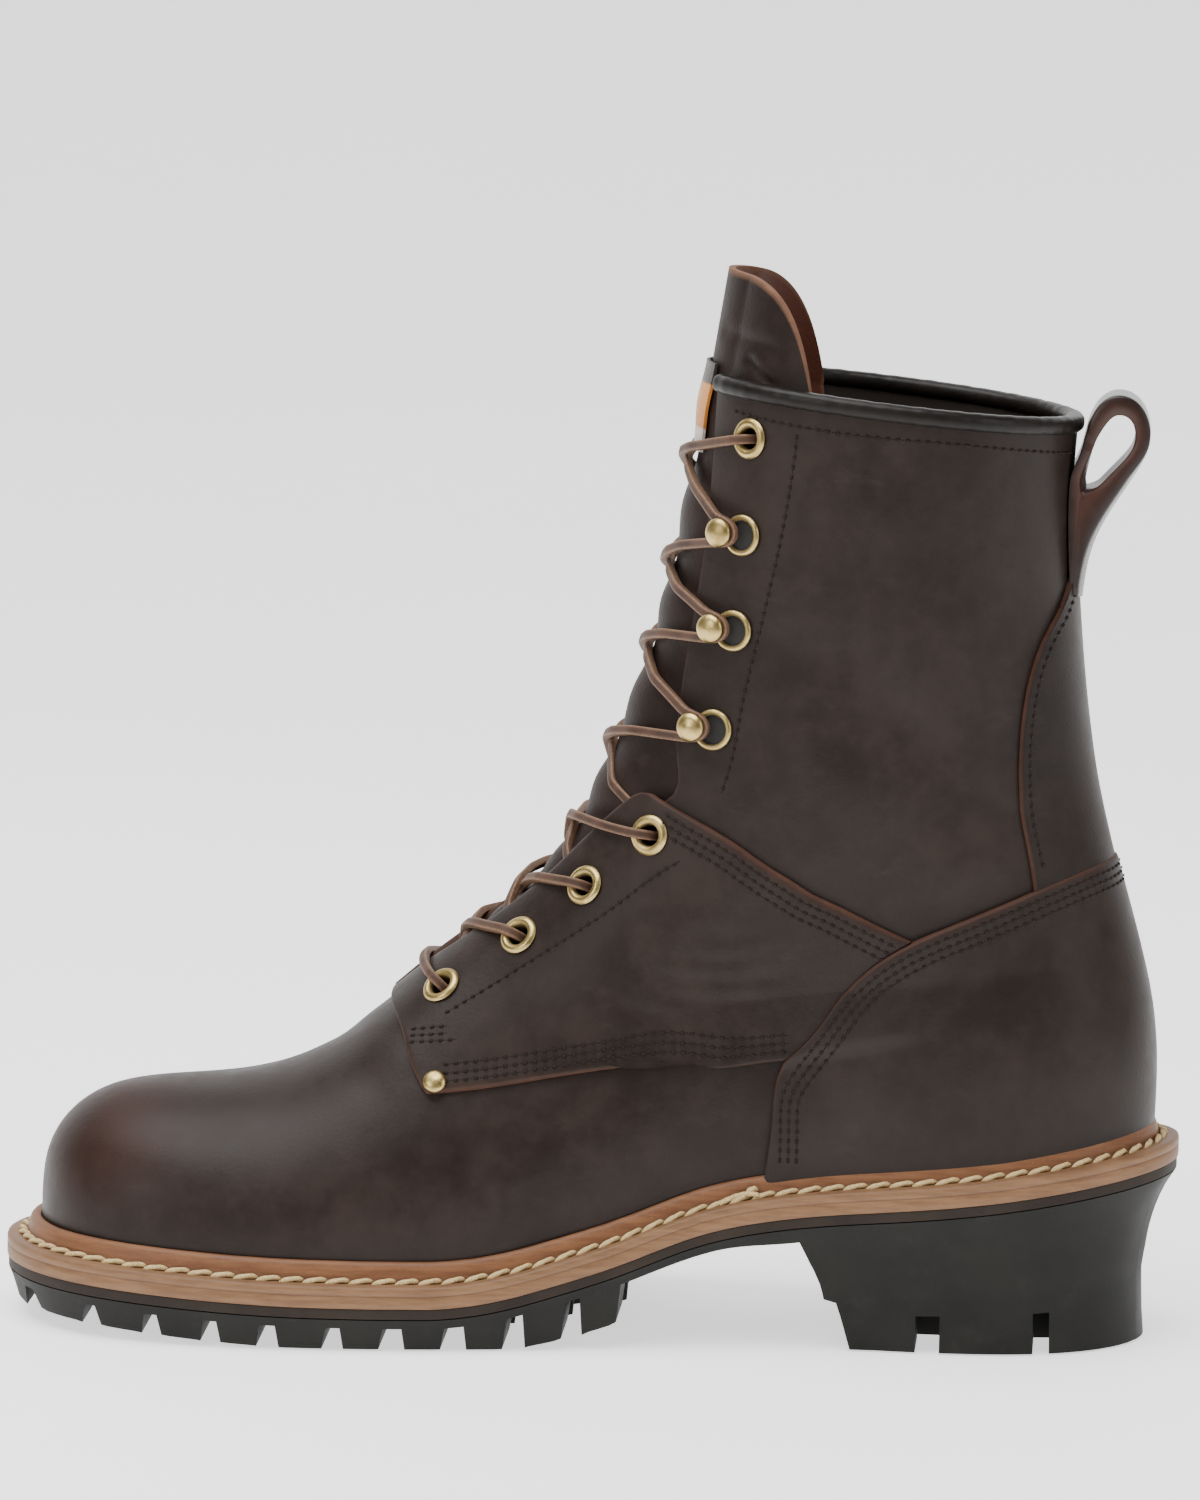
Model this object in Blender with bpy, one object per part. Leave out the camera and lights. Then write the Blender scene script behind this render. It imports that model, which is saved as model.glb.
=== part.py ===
# Logger boot, right foot: last-shaped hollow upper, stitched welt, moulded lug sole and heel, laces and brass.
# Metres, +Z up, +X from toe to heel, the inner side of the foot at -Y, origin on the floor under the middle.

import math

import bmesh
import bpy
import numpy as np
from mathutils import Vector

# The last: the form inside the leather, which every curved piece follows
LAST_LENGTH = 0.291
BALL_WIDTH = 0.096
INSTEP_RISE = 0.0668
SHAFT_RISE = 0.1649
HEEL_LIFT = 0.0340
TOE_SPRING = 0.0032
BACK_RISE = 0.1897
SHAFT_WIDTH = 0.082
ANKLE_LOW = 0.070
ANKLE_HIGH = 0.150
SIDE_BULGE = 0.0022
BULGE_HEIGHT = 0.055

# Walls and clearances
CLEARANCE = 0.0003
HARDWARE_CLEARANCE = 0.0007
LEATHER = 0.0024
QUARTER_LEATHER = 0.0018
COUNTER_LEATHER = 0.0021
BACKSTAY_LEATHER = 0.0015
TONGUE_LEATHER = 0.0022
TONGUE_CLEARANCE = 0.0006

# The sole, from the floor up
LUG_DEPTH = 0.0043
PLATE = 0.0038
MIDSOLE = 0.0023
WELT_OUT = 0.0090
WELT_BASE = 0.0025
WELT_EDGE = 0.0056
BEAD_WIDTH = 0.0034
BEAD_HEIGHT = 0.0112
BEAD_ROUND = 0.0010
INSOLE = 0.0045
EDGE_STEP = 0.0004
PLATE_LEAN = 0.0010
LUG_LEAN = 0.0030
TIP_LIFT = 0.0042
WAIST_LIFT = 0.0068
HEEL_TAPER = 0.0088
BREAST_RAKE = 0.0135

# Outline of the last from above: share of length, half width and middle line as shares of half the ball width
OUTLINE = [
    (0.000, 0.000, -0.170),
    (0.030, 0.485, -0.165),
    (0.080, 0.730, -0.145),
    (0.150, 0.885, -0.100),
    (0.220, 0.965, -0.045),
    (0.300, 1.000, 0.010),
    (0.380, 0.985, 0.055),
    (0.460, 0.925, 0.085),
    (0.550, 0.820, 0.095),
    (0.630, 0.735, 0.075),
    (0.720, 0.685, 0.045),
    (0.800, 0.672, 0.015),
    (0.880, 0.640, 0.000),
    (0.940, 0.525, 0.000),
    (0.980, 0.325, 0.000),
    (1.000, 0.000, 0.000),
]

# Underside of the welt: share of length, share of the toe spring, share of the heel lift
SEAT = [
    (0.00, 1.00, 0.000),
    (0.08, 0.72, 0.000),
    (0.16, 0.36, 0.000),
    (0.24, 0.08, 0.000),
    (0.31, 0.00, 0.000),
    (0.38, 0.00, 0.005),
    (0.43, 0.00, 0.065),
    (0.48, 0.00, 0.180),
    (0.535, 0.00, 0.330),
    (0.605, 0.00, 0.560),
    (0.66, 0.00, 0.670),
    (0.71, 0.00, 0.730),
    (0.79, 0.00, 0.795),
    (0.875, 0.00, 0.880),
    (0.965, 0.00, 0.995),
    (1.00, 0.00, 1.040),
]

# Side view of the foot, front line: share of length, share of the instep rise
FOOT_FRONT = [
    (0.0000, 0.000),
    (0.0003, 0.145),
    (0.0028, 0.332),
    (0.0210, 0.509),
    (0.0708, 0.642),
    (0.1567, 0.684),
    (0.2392, 0.769),
    (0.3151, 1.000),
]

# Side view of the shaft, front line: share of length, share of the shaft rise
SHAFT_FRONT = [
    (0.3870, 0.112),
    (0.4600, 0.238),
    (0.5040, 0.392),
    (0.5390, 0.557),
    (0.5620, 0.722),
    (0.5775, 0.868),
    (0.5895, 1.000),
]

# Side view of the back line: share of length, share of the back rise
BACK = [
    (1.0000, 0.000),
    (1.0010, 0.050),
    (1.0015, 0.107),
    (1.0000, 0.162),
    (0.9952, 0.215),
    (0.9869, 0.268),
    (0.9773, 0.321),
    (0.9670, 0.377),
    (0.9557, 0.440),
    (0.9436, 0.519),
    (0.9343, 0.609),
    (0.9264, 0.720),
    (0.9213, 0.827),
    (0.9203, 0.922),
    (0.9230, 1.000),
]

# Half width of the leg: share of the height from floor to collar, share of half the shaft width
LEG = [
    (0.20, 0.902),
    (0.40, 0.907),
    (0.52, 0.890),
    (0.64, 0.890),
    (0.80, 0.939),
    (1.00, 1.000),
]


def smooth(t):
    t = np.clip(t, 0.0, 1.0)
    return t * t * (3.0 - 2.0 * t)


def spline(xs, ys):
    # A natural cubic through the table's points, straight past its ends
    xs = np.asarray(xs, float)
    ys = np.asarray(ys, float)
    count = len(xs)
    step = np.diff(xs)
    slope = np.diff(ys) / step
    matrix = np.eye(count)
    right = np.zeros(count)
    for i in range(1, count - 1):
        matrix[i, i - 1] = step[i - 1]
        matrix[i, i] = 2.0 * (step[i - 1] + step[i])
        matrix[i, i + 1] = step[i]
        right[i] = 6.0 * (slope[i] - slope[i - 1])
    bend = np.linalg.solve(matrix, right)
    first = slope[0] - step[0] * bend[1] / 6.0
    last = slope[-1] + step[-1] * bend[-2] / 6.0

    def at(x):
        x = np.asarray(x, float)
        i = np.clip(np.searchsorted(xs, x) - 1, 0, count - 2)
        past = x - xs[i]
        left = xs[i + 1] - x
        h = step[i]
        cubic = (bend[i] * left ** 3 + bend[i + 1] * past ** 3) / (6.0 * h)
        lines = (ys[i] / h - bend[i] * h / 6.0) * left + (ys[i + 1] / h - bend[i + 1] * h / 6.0) * past
        below = ys[0] + (x - xs[0]) * first
        above = ys[-1] + (x - xs[-1]) * last
        return np.where(x < xs[0], below, np.where(x > xs[-1], above, cubic + lines))

    return at


def column(table, i):
    return [row[i] for row in table]


TOE_X = -LAST_LENGTH / 2.0
HALF_BALL = BALL_WIDTH / 2.0
SEAT_LOW = LUG_DEPTH + PLATE + CLEARANCE + MIDSOLE + CLEARANCE

width_squared = spline(column(OUTLINE, 0), np.square(column(OUTLINE, 1)))
middle_share = spline(column(OUTLINE, 0), column(OUTLINE, 2))
spring_share = spline(column(SEAT, 0), column(SEAT, 1))
lift_share = spline(column(SEAT, 0), column(SEAT, 2))


def share_at(x):
    return (np.asarray(x, float) - TOE_X) / LAST_LENGTH


def seat_z(x):
    # Height of the welt's underside
    s = np.clip(share_at(x), -0.04, 1.04)
    spring = TOE_SPRING * np.maximum(spring_share(s), 0.0)
    lift = HEEL_LIFT * np.maximum(lift_share(s), 0.0)
    return SEAT_LOW + spring + lift


def feather_z(x):
    # Height of the upper's bottom edge, on the welt's base
    return seat_z(x) + WELT_BASE + CLEARANCE


def side_profile():
    toe_z = float(feather_z(TOE_X))
    heel_z = float(feather_z(TOE_X + LAST_LENGTH))
    front = [(TOE_X + s * LAST_LENGTH, toe_z + r * INSTEP_RISE) for s, r in FOOT_FRONT]
    base = toe_z + INSTEP_RISE
    front += [(TOE_X + s * LAST_LENGTH, base + r * SHAFT_RISE) for s, r in SHAFT_FRONT]
    back = [(TOE_X + s * LAST_LENGTH, heel_z + r * BACK_RISE) for s, r in BACK]
    return front, back


FRONT_LINE, BACK_LINE = side_profile()
ROWS = np.linspace(0.0, 1.0, len(FRONT_LINE))
front_x = spline(ROWS, column(FRONT_LINE, 0))
front_z = spline(ROWS, column(FRONT_LINE, 1))
back_x = spline(ROWS, column(BACK_LINE, 0))
back_z = spline(ROWS, column(BACK_LINE, 1))
COLLAR_Z = FRONT_LINE[-1][1]
leg_half = spline(np.multiply(column(LEG, 0), COLLAR_Z), np.multiply(column(LEG, 1), SHAFT_WIDTH / 2.0))


def plan_half(s):
    return HALF_BALL * np.sqrt(np.maximum(width_squared(np.clip(s, 0.0, 1.0)), 0.0))


def plan_centre():
    # How far the outline's middle lies from the table's own line, so the boot stands over the origin
    s = np.linspace(0.0, 1.0, 201)
    middle = HALF_BALL * middle_share(s)
    return float((np.max(middle + plan_half(s)) + np.min(middle - plan_half(s))) / 2.0)


PLAN_CENTRE = plan_centre()


def plan_middle(s):
    return HALF_BALL * middle_share(np.clip(s, 0.0, 1.0)) - PLAN_CENTRE


def row_where(line, value):
    # The row at which a rising line reaches a value, by halving
    low = np.zeros_like(value)
    high = np.ones_like(value)
    for _ in range(44):
        mid = (low + high) / 2.0
        under = line(mid) < value
        low = np.where(under, mid, low)
        high = np.where(under, high, mid)
    return (low + high) / 2.0


def side_point(a, v):
    # Side view of the surface: a from the front line (0) to the back line (1), v from the feather line up
    along_front = v ** 2.5
    along_back = (back_z(v) - back_z(0.0)) / (back_z(1.0) - back_z(0.0))
    turn = smooth(a)
    up = along_front + (along_back - along_front) * turn
    low_x = front_x(0.0) + (back_x(0.0) - front_x(0.0)) * a
    low_z = feather_z(low_x)
    top_x = front_x(1.0) + (back_x(1.0) - front_x(1.0)) * a
    top_z = front_z(1.0) + (back_z(1.0) - front_z(1.0)) * a
    fade = (1.0 - a) ** (1.0 + 1.6 * (1.0 - v))
    rise = turn * a
    front_dx = front_x(v) - (1.0 - along_front) * front_x(0.0) - along_front * front_x(1.0)
    front_dz = front_z(v) - (1.0 - along_front) * front_z(0.0) - along_front * front_z(1.0)
    back_dx = back_x(v) - (1.0 - along_back) * back_x(0.0) - along_back * back_x(1.0)
    back_dz = back_z(v) - (1.0 - along_back) * back_z(0.0) - along_back * back_z(1.0)
    x = (1.0 - up) * low_x + up * top_x + fade * front_dx + rise * back_dx
    z = (1.0 - up) * low_z + up * top_z + fade * front_dz + rise * back_dz
    return x, z


def half_width(x, z):
    s = share_at(x)
    base = feather_z(x)
    inside = x < front_x(1.0)
    top = np.where(inside, front_z(row_where(front_x, x)), front_z(1.0) + (x - front_x(1.0)) * 0.5)
    h = np.clip((z - base) / (top - base), 0.0, 1.0)
    heel_row = row_where(back_z, z)
    shift = (back_x(0.0) - back_x(heel_row)) * smooth((s - 0.45) / 0.45)
    power = 2.5 - 0.75 * smooth((s - 0.12) / 0.40)
    foot = plan_half(share_at(x + shift)) * np.sqrt(1.0 - h ** power)
    near = front_x(row_where(front_z, z))
    far = back_x(heel_row)
    c = np.clip((x - near) / (far - near), 0.0, 1.0)
    leg = leg_half(z) * np.sqrt(np.maximum(1.0 - np.abs(2.0 * c - 1.0) ** 2.15, 0.0))
    mix = smooth((z - ANKLE_LOW) / (ANKLE_HIGH - ANKLE_LOW))
    return foot * (1.0 - mix) + leg * mix


def surface(u, v, side):
    # Outer face of the upper: u from the front line (0) to the back line (1), side -1 inner or +1 outer
    u, v = np.broadcast_arrays(np.asarray(u, float), np.asarray(v, float))
    over = np.maximum(v - 1.0, 0.0)
    row = np.minimum(v, 1.0)
    a = (1.0 - np.cos(np.pi * u)) / 2.0
    x, z = side_point(a, row)
    w = np.where((u <= 0.0) | (u >= 1.0), 0.0, half_width(x, z))
    mix = smooth((z - ANKLE_LOW) / (ANKLE_HIGH - ANKLE_LOW))
    middle = plan_middle(share_at(x)) * (1.0 - mix)
    lift = np.clip((z - feather_z(x)) / BULGE_HEIGHT, 0.0, 1.0)
    bulge = SIDE_BULGE * np.sin(np.pi * lift) * np.sqrt(np.maximum(np.sin(np.pi * u), 0.0))
    y = middle + side * (w + bulge)
    # Past the collar the surface goes on straight, in the direction of the front line
    rise = (front_z(1.0) - front_z(0.98)) / 0.02
    run = (front_x(1.0) - front_x(0.98)) / 0.02
    return np.stack([x + over * run, y, z + over * rise], -1)


def across(u, v, side, step=0.0008):
    # Outward unit normal of the surface, from small steps along its two directions
    u, v = np.broadcast_arrays(np.asarray(u, float), np.asarray(v, float))
    ahead = np.minimum(u + step, 1.0)
    behind = np.maximum(u - step, 0.0)
    along = surface(ahead, v, side) - surface(behind, v, side)
    upward = surface(u, v + step, side) - surface(u, np.maximum(v - step, 0.0), side)
    normal = np.cross(along, upward) * -side
    return normal / np.linalg.norm(normal, axis=-1, keepdims=True)


def shifted(u, v, side, offset):
    return surface(u, v, side) + across(u, v, side) * offset


def plan_normal(u, side):
    # Outward normal of the feather line, seen from above
    u = np.asarray(u, float)
    step = 0.0005
    along = surface(np.minimum(u + step, 1.0), 0.0, side) - surface(np.maximum(u - step, 0.0), 0.0, side)
    normal = np.stack([along[..., 1], -along[..., 0]], -1) * -side
    return normal / np.linalg.norm(normal, axis=-1, keepdims=True)


def feather(u, side, offset):
    # Plan view of a line that stands outside the feather line by an offset
    return surface(u, 0.0, side)[..., :2] + plan_normal(u, side) * offset


# Rows of the upper's sections, from the feather line to the collar, with the throat's foot on one of them
THROAT = 0.505
SECTION_ROWS = [
    0.0, 0.06, 0.12, 0.18, 0.24, 0.30, 0.37, 0.44, THROAT, 0.555, 0.605,
    0.655, 0.69, 0.72, 0.745, 0.79, 0.84, 0.89, 0.945, 1.0,
]
SIDE_COLUMNS = 20
FACING_COLUMNS = 2
HEEL_COLUMN = FACING_COLUMNS + SIDE_COLUMNS

# Edge of the throat: row, share of the way round from the front line
FACING = [
    (0.000, 0.060),
    (0.420, 0.060),
    (0.505, 0.020),
    (0.555, 0.052),
    (0.605, 0.092),
    (0.655, 0.132),
    (0.690, 0.200),
    (0.720, 0.285),
    (0.745, 0.240),
    (0.790, 0.200),
    (0.840, 0.184),
    (0.890, 0.174),
    (0.945, 0.152),
    (1.000, 0.125),
]


def facing_edge(v):
    return np.interp(v, column(FACING, 0), column(FACING, 1))


def side_columns(v):
    # Each row's places round one side, from the front line by way of the facing edge to the back line
    edge = facing_edge(v)
    inner = [edge * k / FACING_COLUMNS for k in range(FACING_COLUMNS)]
    outer = []
    for k in range(SIDE_COLUMNS + 1):
        c = k / SIDE_COLUMNS
        even = c + 0.35 * math.sin(2.0 * math.pi * c) / (2.0 * math.pi)
        outer.append(edge + (1.0 - edge) * even)
    return np.array(inner + outer)


def shell_ring(offset, flat_bottom=True):
    # The surface moved out by an offset, as rows of points from the inner side's front round the heel
    rows = []
    for v in SECTION_ROWS:
        u = side_columns(v)
        inner = shifted(u, v, -1.0, offset)
        outer = shifted(u[::-1], v, 1.0, offset)
        ring = np.concatenate([inner, outer[1:-1]])
        if v == 0.0 and flat_bottom:
            ring[:, 2] = feather_z(ring[:, 0])
        rows.append(ring)
    return np.array(rows)


def make_object(name, vertices, faces, finish, smooth_angle=40.0):
    mesh = bpy.data.meshes.new(name)
    mesh.from_pydata([tuple(p) for p in vertices], [], [tuple(f) for f in faces])
    work = bmesh.new()
    work.from_mesh(mesh)
    bmesh.ops.remove_doubles(work, verts=work.verts, dist=1e-6)
    loose = [p for p in work.verts if not p.link_faces]
    bmesh.ops.delete(work, geom=loose, context="VERTS")
    bmesh.ops.recalc_face_normals(work, faces=work.faces)
    if work.calc_volume(signed=True) < 0.0:
        bmesh.ops.reverse_faces(work, faces=work.faces)
    work.to_mesh(mesh)
    work.free()
    mesh.shade_smooth()
    mesh.set_sharp_from_angle(angle=math.radians(smooth_angle))
    mesh.materials.append(finish)
    thing = bpy.data.objects.new(name, mesh)
    bpy.context.scene.collection.objects.link(thing)
    return thing


def sheet_faces(rows, columns, wrap, used, turned_over):
    # Faces of a closed sheet: two skins, the second after the first, joined along every open edge.
    # Both skins, and every overlay on them, split their quads the same way, so nested sheets stay parallel.
    count = rows * columns
    faces = []
    edges = {}

    def at(r, c):
        return r * columns + c % columns

    for r in range(rows - 1):
        for c in range(columns if wrap else columns - 1):
            if not used(r, c):
                continue
            corner = [at(r, c), at(r, c + 1), at(r + 1, c + 1), at(r + 1, c)]
            first = 1 if turned_over(c) else 0
            halves = [[corner[first], corner[first + 1], corner[first + 2 - 4]],
                      [corner[first], corner[first + 2 - 4], corner[first + 3 - 4]]]
            for half in halves:
                faces.append(half)
                faces.append([count + i for i in reversed(half)])
            for a, b in zip(corner, corner[1:] + corner[:1]):
                if (b, a) in edges:
                    del edges[(b, a)]
                else:
                    edges[(a, b)] = True
    for a, b in edges:
        faces.append([b, a, count + a, count + b])
    return faces


def always(*place):
    return True


def never(*place):
    return False


def sheet(name, outside, inside, finish, wrap=False, used=always, turned_over=never):
    rows, columns = outside.shape[:2]
    vertices = np.concatenate([outside.reshape(-1, 3), inside.reshape(-1, 3)])
    return make_object(name, vertices, sheet_faces(rows, columns, wrap, used, turned_over), finish)


def material(name, colour, roughness, metallic=0.0):
    finish = bpy.data.materials.new(name)
    finish.use_nodes = True
    shader = finish.node_tree.nodes["Principled BSDF"]
    shader.inputs["Base Color"].default_value = (*colour, 1.0)
    shader.inputs["Roughness"].default_value = roughness
    shader.inputs["Metallic"].default_value = metallic
    return finish


def skin(name, rows, columns, low, high, finish, side=None):
    # Part of the leather's own form between two offsets from the upper's outer face
    if side is None:
        outside = shell_ring(high)[rows, columns]
        inside = shell_ring(low)[rows, columns]
        past_heel = HEEL_COLUMN - columns.start
        return sheet(name, outside, inside, finish, turned_over=lambda c: c >= past_heel)
    levels = SECTION_ROWS[rows]
    outside = np.array([shifted(side_columns(v), v, side, high) for v in levels])[:, columns]
    inside = np.array([shifted(side_columns(v), v, side, low) for v in levels])[:, columns]
    return sheet(name, outside, inside, finish)


def prism(name, outline, near, far):
    # A cutter: a side-view outline drawn out across the foot
    count = len(outline)
    vertices = [(x, near, z) for x, z in outline] + [(x, far, z) for x, z in outline]
    faces = [list(range(count)), [count + i for i in reversed(range(count))]]
    for i in range(count):
        j = (i + 1) % count
        faces.append([j, i, count + i, count + j])
    cutter = make_object(name, vertices, faces, None)
    return hide_cutter(cutter)


def hide_cutter(cutter):
    cutter.hide_render = True
    cutter.display_type = "WIRE"
    return cutter


def cut(thing, cutter, operation):
    step = thing.modifiers.new(cutter.name, "BOOLEAN")
    step.operation = operation
    step.solver = "EXACT"
    step.object = cutter


def side_view(outline, side=-1.0):
    # Places on the surface as a side-view outline
    points = [surface(u, v, side) for u, v in outline]
    return [(float(p[0]), float(p[2])) for p in points]


def tube(name, path, radius, sides, finish):
    # A round cord along a smooth line through its points, closed at both ends
    points = np.array(path)
    knots = np.concatenate([[0.0], np.cumsum(np.linalg.norm(np.diff(points, axis=0), axis=1))])
    lines = [spline(knots, points[:, i]) for i in range(3)]
    samples = np.linspace(0.0, knots[-1], 3 * (len(points) - 1) + 1)
    centre = np.stack([line(samples) for line in lines], -1)
    tangent = np.gradient(centre, axis=0)
    tangent /= np.linalg.norm(tangent, axis=1, keepdims=True)
    normal = np.cross(tangent[0], [0.0, 0.0, 1.0])
    vertices = []
    for point, direction in zip(centre, tangent):
        normal = normal - direction * np.dot(normal, direction)
        normal /= np.linalg.norm(normal)
        other = np.cross(direction, normal)
        for k in range(sides):
            angle = 2.0 * math.pi * k / sides
            vertices.append(point + radius * (math.cos(angle) * normal + math.sin(angle) * other))
    faces = [list(range(sides)), [len(vertices) - 1 - k for k in range(sides)]]
    for r in range(len(centre) - 1):
        for k in range(sides):
            a = r * sides + k
            b = r * sides + (k + 1) % sides
            faces.append([a, b, b + sides, a + sides])
    return make_object(name, vertices, faces, finish)


def turned(name, rings, centre, axis, sides, finish, toward=None, closed=False):
    # A round piece from rings of radius, height and shift toward a direction; closed rings make a tube
    axis = Vector(axis).normalized()
    lean = Vector(toward) - axis * Vector(toward).dot(axis) if toward is not None else axis.orthogonal()
    lean.normalize()
    other = axis.cross(lean)
    vertices = []
    for radius, height, shift in rings:
        middle = Vector(centre) + axis * height + lean * shift
        for k in range(sides):
            angle = 2.0 * math.pi * k / sides
            vertices.append(middle + radius * (math.cos(angle) * lean + math.sin(angle) * other))
    count = len(rings)
    faces = []
    for r in range(count if closed else count - 1):
        for k in range(sides):
            n = (k + 1) % sides
            s = (r + 1) % count
            faces.append([r * sides + k, r * sides + n, s * sides + n, s * sides + k])
    if not closed:
        faces.append(list(range(sides)))
        faces.append([(count - 1) * sides + k for k in reversed(range(sides))])
    return make_object(name, vertices, faces, finish, smooth_angle=50.0)


# Eyelets and hooks: place round the side, row
EYELETS = [
    (0.140, 0.530),
    (0.175, 0.588),
    (0.203, 0.640),
    (0.263, 0.688),
    (0.247, 0.968),
]
HOOKS = [
    (0.292, 0.765),
    (0.278, 0.830),
    (0.260, 0.895),
]
RIVET = (0.265, 0.450)
QUARTER_EYELETS = 4
EYELET_HOLE = 0.0028
EYELET_TUBE = 0.0032
EYELET_FLANGE = 0.0053
EYELET_THICK = 0.0009
HOOK_FLANGE = 0.0054
HOOK_NECK = 0.0019
HOOK_HEAD = 0.0037
HOOK_THROAT = 0.0038
HOOK_CAP = 0.0016
HOOK_SHIFT = 0.0042
RIVET_RADIUS = 0.0030
RIVET_DOME = 0.0015
LACE = 0.0015
SIDES = {"medial": -1.0, "lateral": 1.0}
QUARTER_STACK = CLEARANCE + QUARTER_LEATHER

# Overlay outlines as places on the surface: share round the side, row
QUARTER_FACING = [
    (0.007, 0.505),
    (0.022, 0.532),
    (0.048, 0.555),
    (0.085, 0.605),
    (0.120, 0.655),
    (0.155, 0.682),
    (0.193, 0.705),
    (0.212, 0.7125),
    (0.235, 0.7145),
]
QUARTER_TOP = [
    (0.325, 0.703),
    (0.427, 0.672),
    (0.557, 0.580),
    (0.646, 0.487),
]
QUARTER_BACK = [
    (0.648, 0.478),
    (0.627, 0.463),
    (0.608, 0.430),
    (0.598, 0.378),
    (0.588, 0.325),
    (0.581, 0.304),
]
QUARTER_LOW = [
    (0.565, 0.322),
    (0.510, 0.398),
    (0.438, 0.460),
    (0.375, 0.460),
    (0.312, 0.448),
    (0.280, 0.432),
]
QUARTER_FRONT = [
    (0.268, 0.438),
    (0.215, 0.465),
    (0.145, 0.490),
]
COUNTER_FRONT = [
    (0.593, 0.188),
    (0.588, 0.268),
    (0.588, 0.302),
    (0.595, 0.322),
    (0.605, 0.375),
    (0.615, 0.427),
    (0.633, 0.458),
    (0.655, 0.475),
]
COUNTER_TOP = [
    (0.698, 0.492),
    (0.753, 0.508),
    (0.838, 0.527),
    (1.000, 0.540),
]
BACKSTAY_EDGE = [
    (1.000, 0.845),
    (0.940, 0.838),
    (0.888, 0.810),
    (0.807, 0.770),
    (0.780, 0.703),
    (0.785, 0.615),
    (0.793, 0.560),
]

# Pull loop: the outline beyond the back line and above the collar, then the matching point of its hole
LOOP_SIZE = 0.040
LOOP_WIDTH = 0.020
LOOP = [
    (0.012, -0.830, 0.130, -0.385),
    (0.012, -0.600, 0.095, -0.360),
    (0.014, -0.375, 0.085, -0.310),
    (0.030, -0.175, 0.100, -0.190),
    (0.060, 0.015, 0.125, -0.060),
    (0.125, 0.165, 0.180, 0.045),
    (0.240, 0.240, 0.250, 0.108),
    (0.375, 0.205, 0.330, 0.090),
    (0.460, 0.075, 0.370, 0.015),
    (0.470, -0.100, 0.365, -0.100),
    (0.400, -0.285, 0.300, -0.225),
    (0.265, -0.510, 0.215, -0.335),
    (0.160, -0.680, 0.170, -0.375),
    (0.150, -0.830, 0.150, -0.385),
]

# Tongue
TONGUE_RISE = 0.0294
TONGUE_LAPS = 4
TONGUE_CROWN = 0.0024
TONGUE_TIP_ROWS = 4
LABEL_LOW = 0.972
LABEL_HIGH = 1.024
LABEL_HALF = 0.078
LABEL_THICK = 0.0006

COLLAR_INSIDE = 0.00175
COLLAR_ROLL = 0.0036
COLLAR_SHIFT = 0.0009


def tongue_offset(u, v):
    # How far the tongue's outer face lies from the leather's: under the facings, and crowned between them
    edge = np.maximum(facing_edge(np.minimum(v, 1.0)), 0.02)
    between = np.clip(1.0 - (u / edge) ** 2, 0.0, 1.0)
    opening = smooth((v - THROAT) / 0.08)
    return TONGUE_CROWN * between * opening - LEATHER - TONGUE_CLEARANCE


def tongue_columns(v):
    every = side_columns(min(v, 1.0))
    edge = every[FACING_COLUMNS]
    lap = every[FACING_COLUMNS + 1:FACING_COLUMNS + 1 + TONGUE_LAPS]
    half = np.concatenate([[0.0, edge / 3.0, edge * 2.0 / 3.0, edge], lap])
    return half


def tongue_points(depth):
    rise = float(front_z(1.0) - front_z(0.98)) / 0.02
    rows = []
    levels = [v for v in SECTION_ROWS if v >= 0.43]
    for v in levels:
        half = tongue_columns(v)
        rows.append((half, np.full(half.shape, v)))
    top = tongue_columns(1.0)
    reach = 1.0 - (top / top[-1]) ** 2.6
    for k in range(1, TONGUE_TIP_ROWS + 1):
        share = k / TONGUE_TIP_ROWS
        rows.append((top, 1.0 + (0.006 + reach * TONGUE_RISE / rise) * share))
    grid = []
    for u, v in rows:
        offset = tongue_offset(u, v) - depth
        near = surface(u, v, -1.0) + across(u, np.minimum(v, 1.0), -1.0) * offset[:, None]
        far = surface(u, v, 1.0) + across(u, np.minimum(v, 1.0), 1.0) * offset[:, None]
        grid.append(np.concatenate([near[::-1], far[1:]]))
    return np.array(grid)


def build_upper(finish):
    throat_row = SECTION_ROWS.index(THROAT)
    outside = shell_ring(0.0)
    inside = shell_ring(-LEATHER)
    inside[0, :, 2] = outside[0, :, 2]
    columns = outside.shape[1]

    def used(r, c):
        open_front = c < FACING_COLUMNS or c >= columns - FACING_COLUMNS
        return r < throat_row or not open_front

    def turned_over(c):
        return c >= HEEL_COLUMN

    return sheet("upper", outside, inside, finish, True, used, turned_over)


def build_tongue(finish):
    outside = tongue_points(0.0)
    middle = outside.shape[1] // 2
    inside = tongue_points(TONGUE_LEATHER)
    return sheet("tongue", outside, inside, finish, turned_over=lambda c: c < middle)


def row_at_height(u, side, height):
    # Rows of the surface that lie a height above the seat
    low = np.zeros_like(u)
    high = np.full_like(u, 0.5)
    for _ in range(24):
        mid = (low + high) / 2.0
        p = surface(u, mid, side)
        under = p[:, 2] - seat_z(p[:, 0]) < height
        low = np.where(under, mid, low)
        high = np.where(under, high, mid)
    return (low + high) / 2.0


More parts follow.
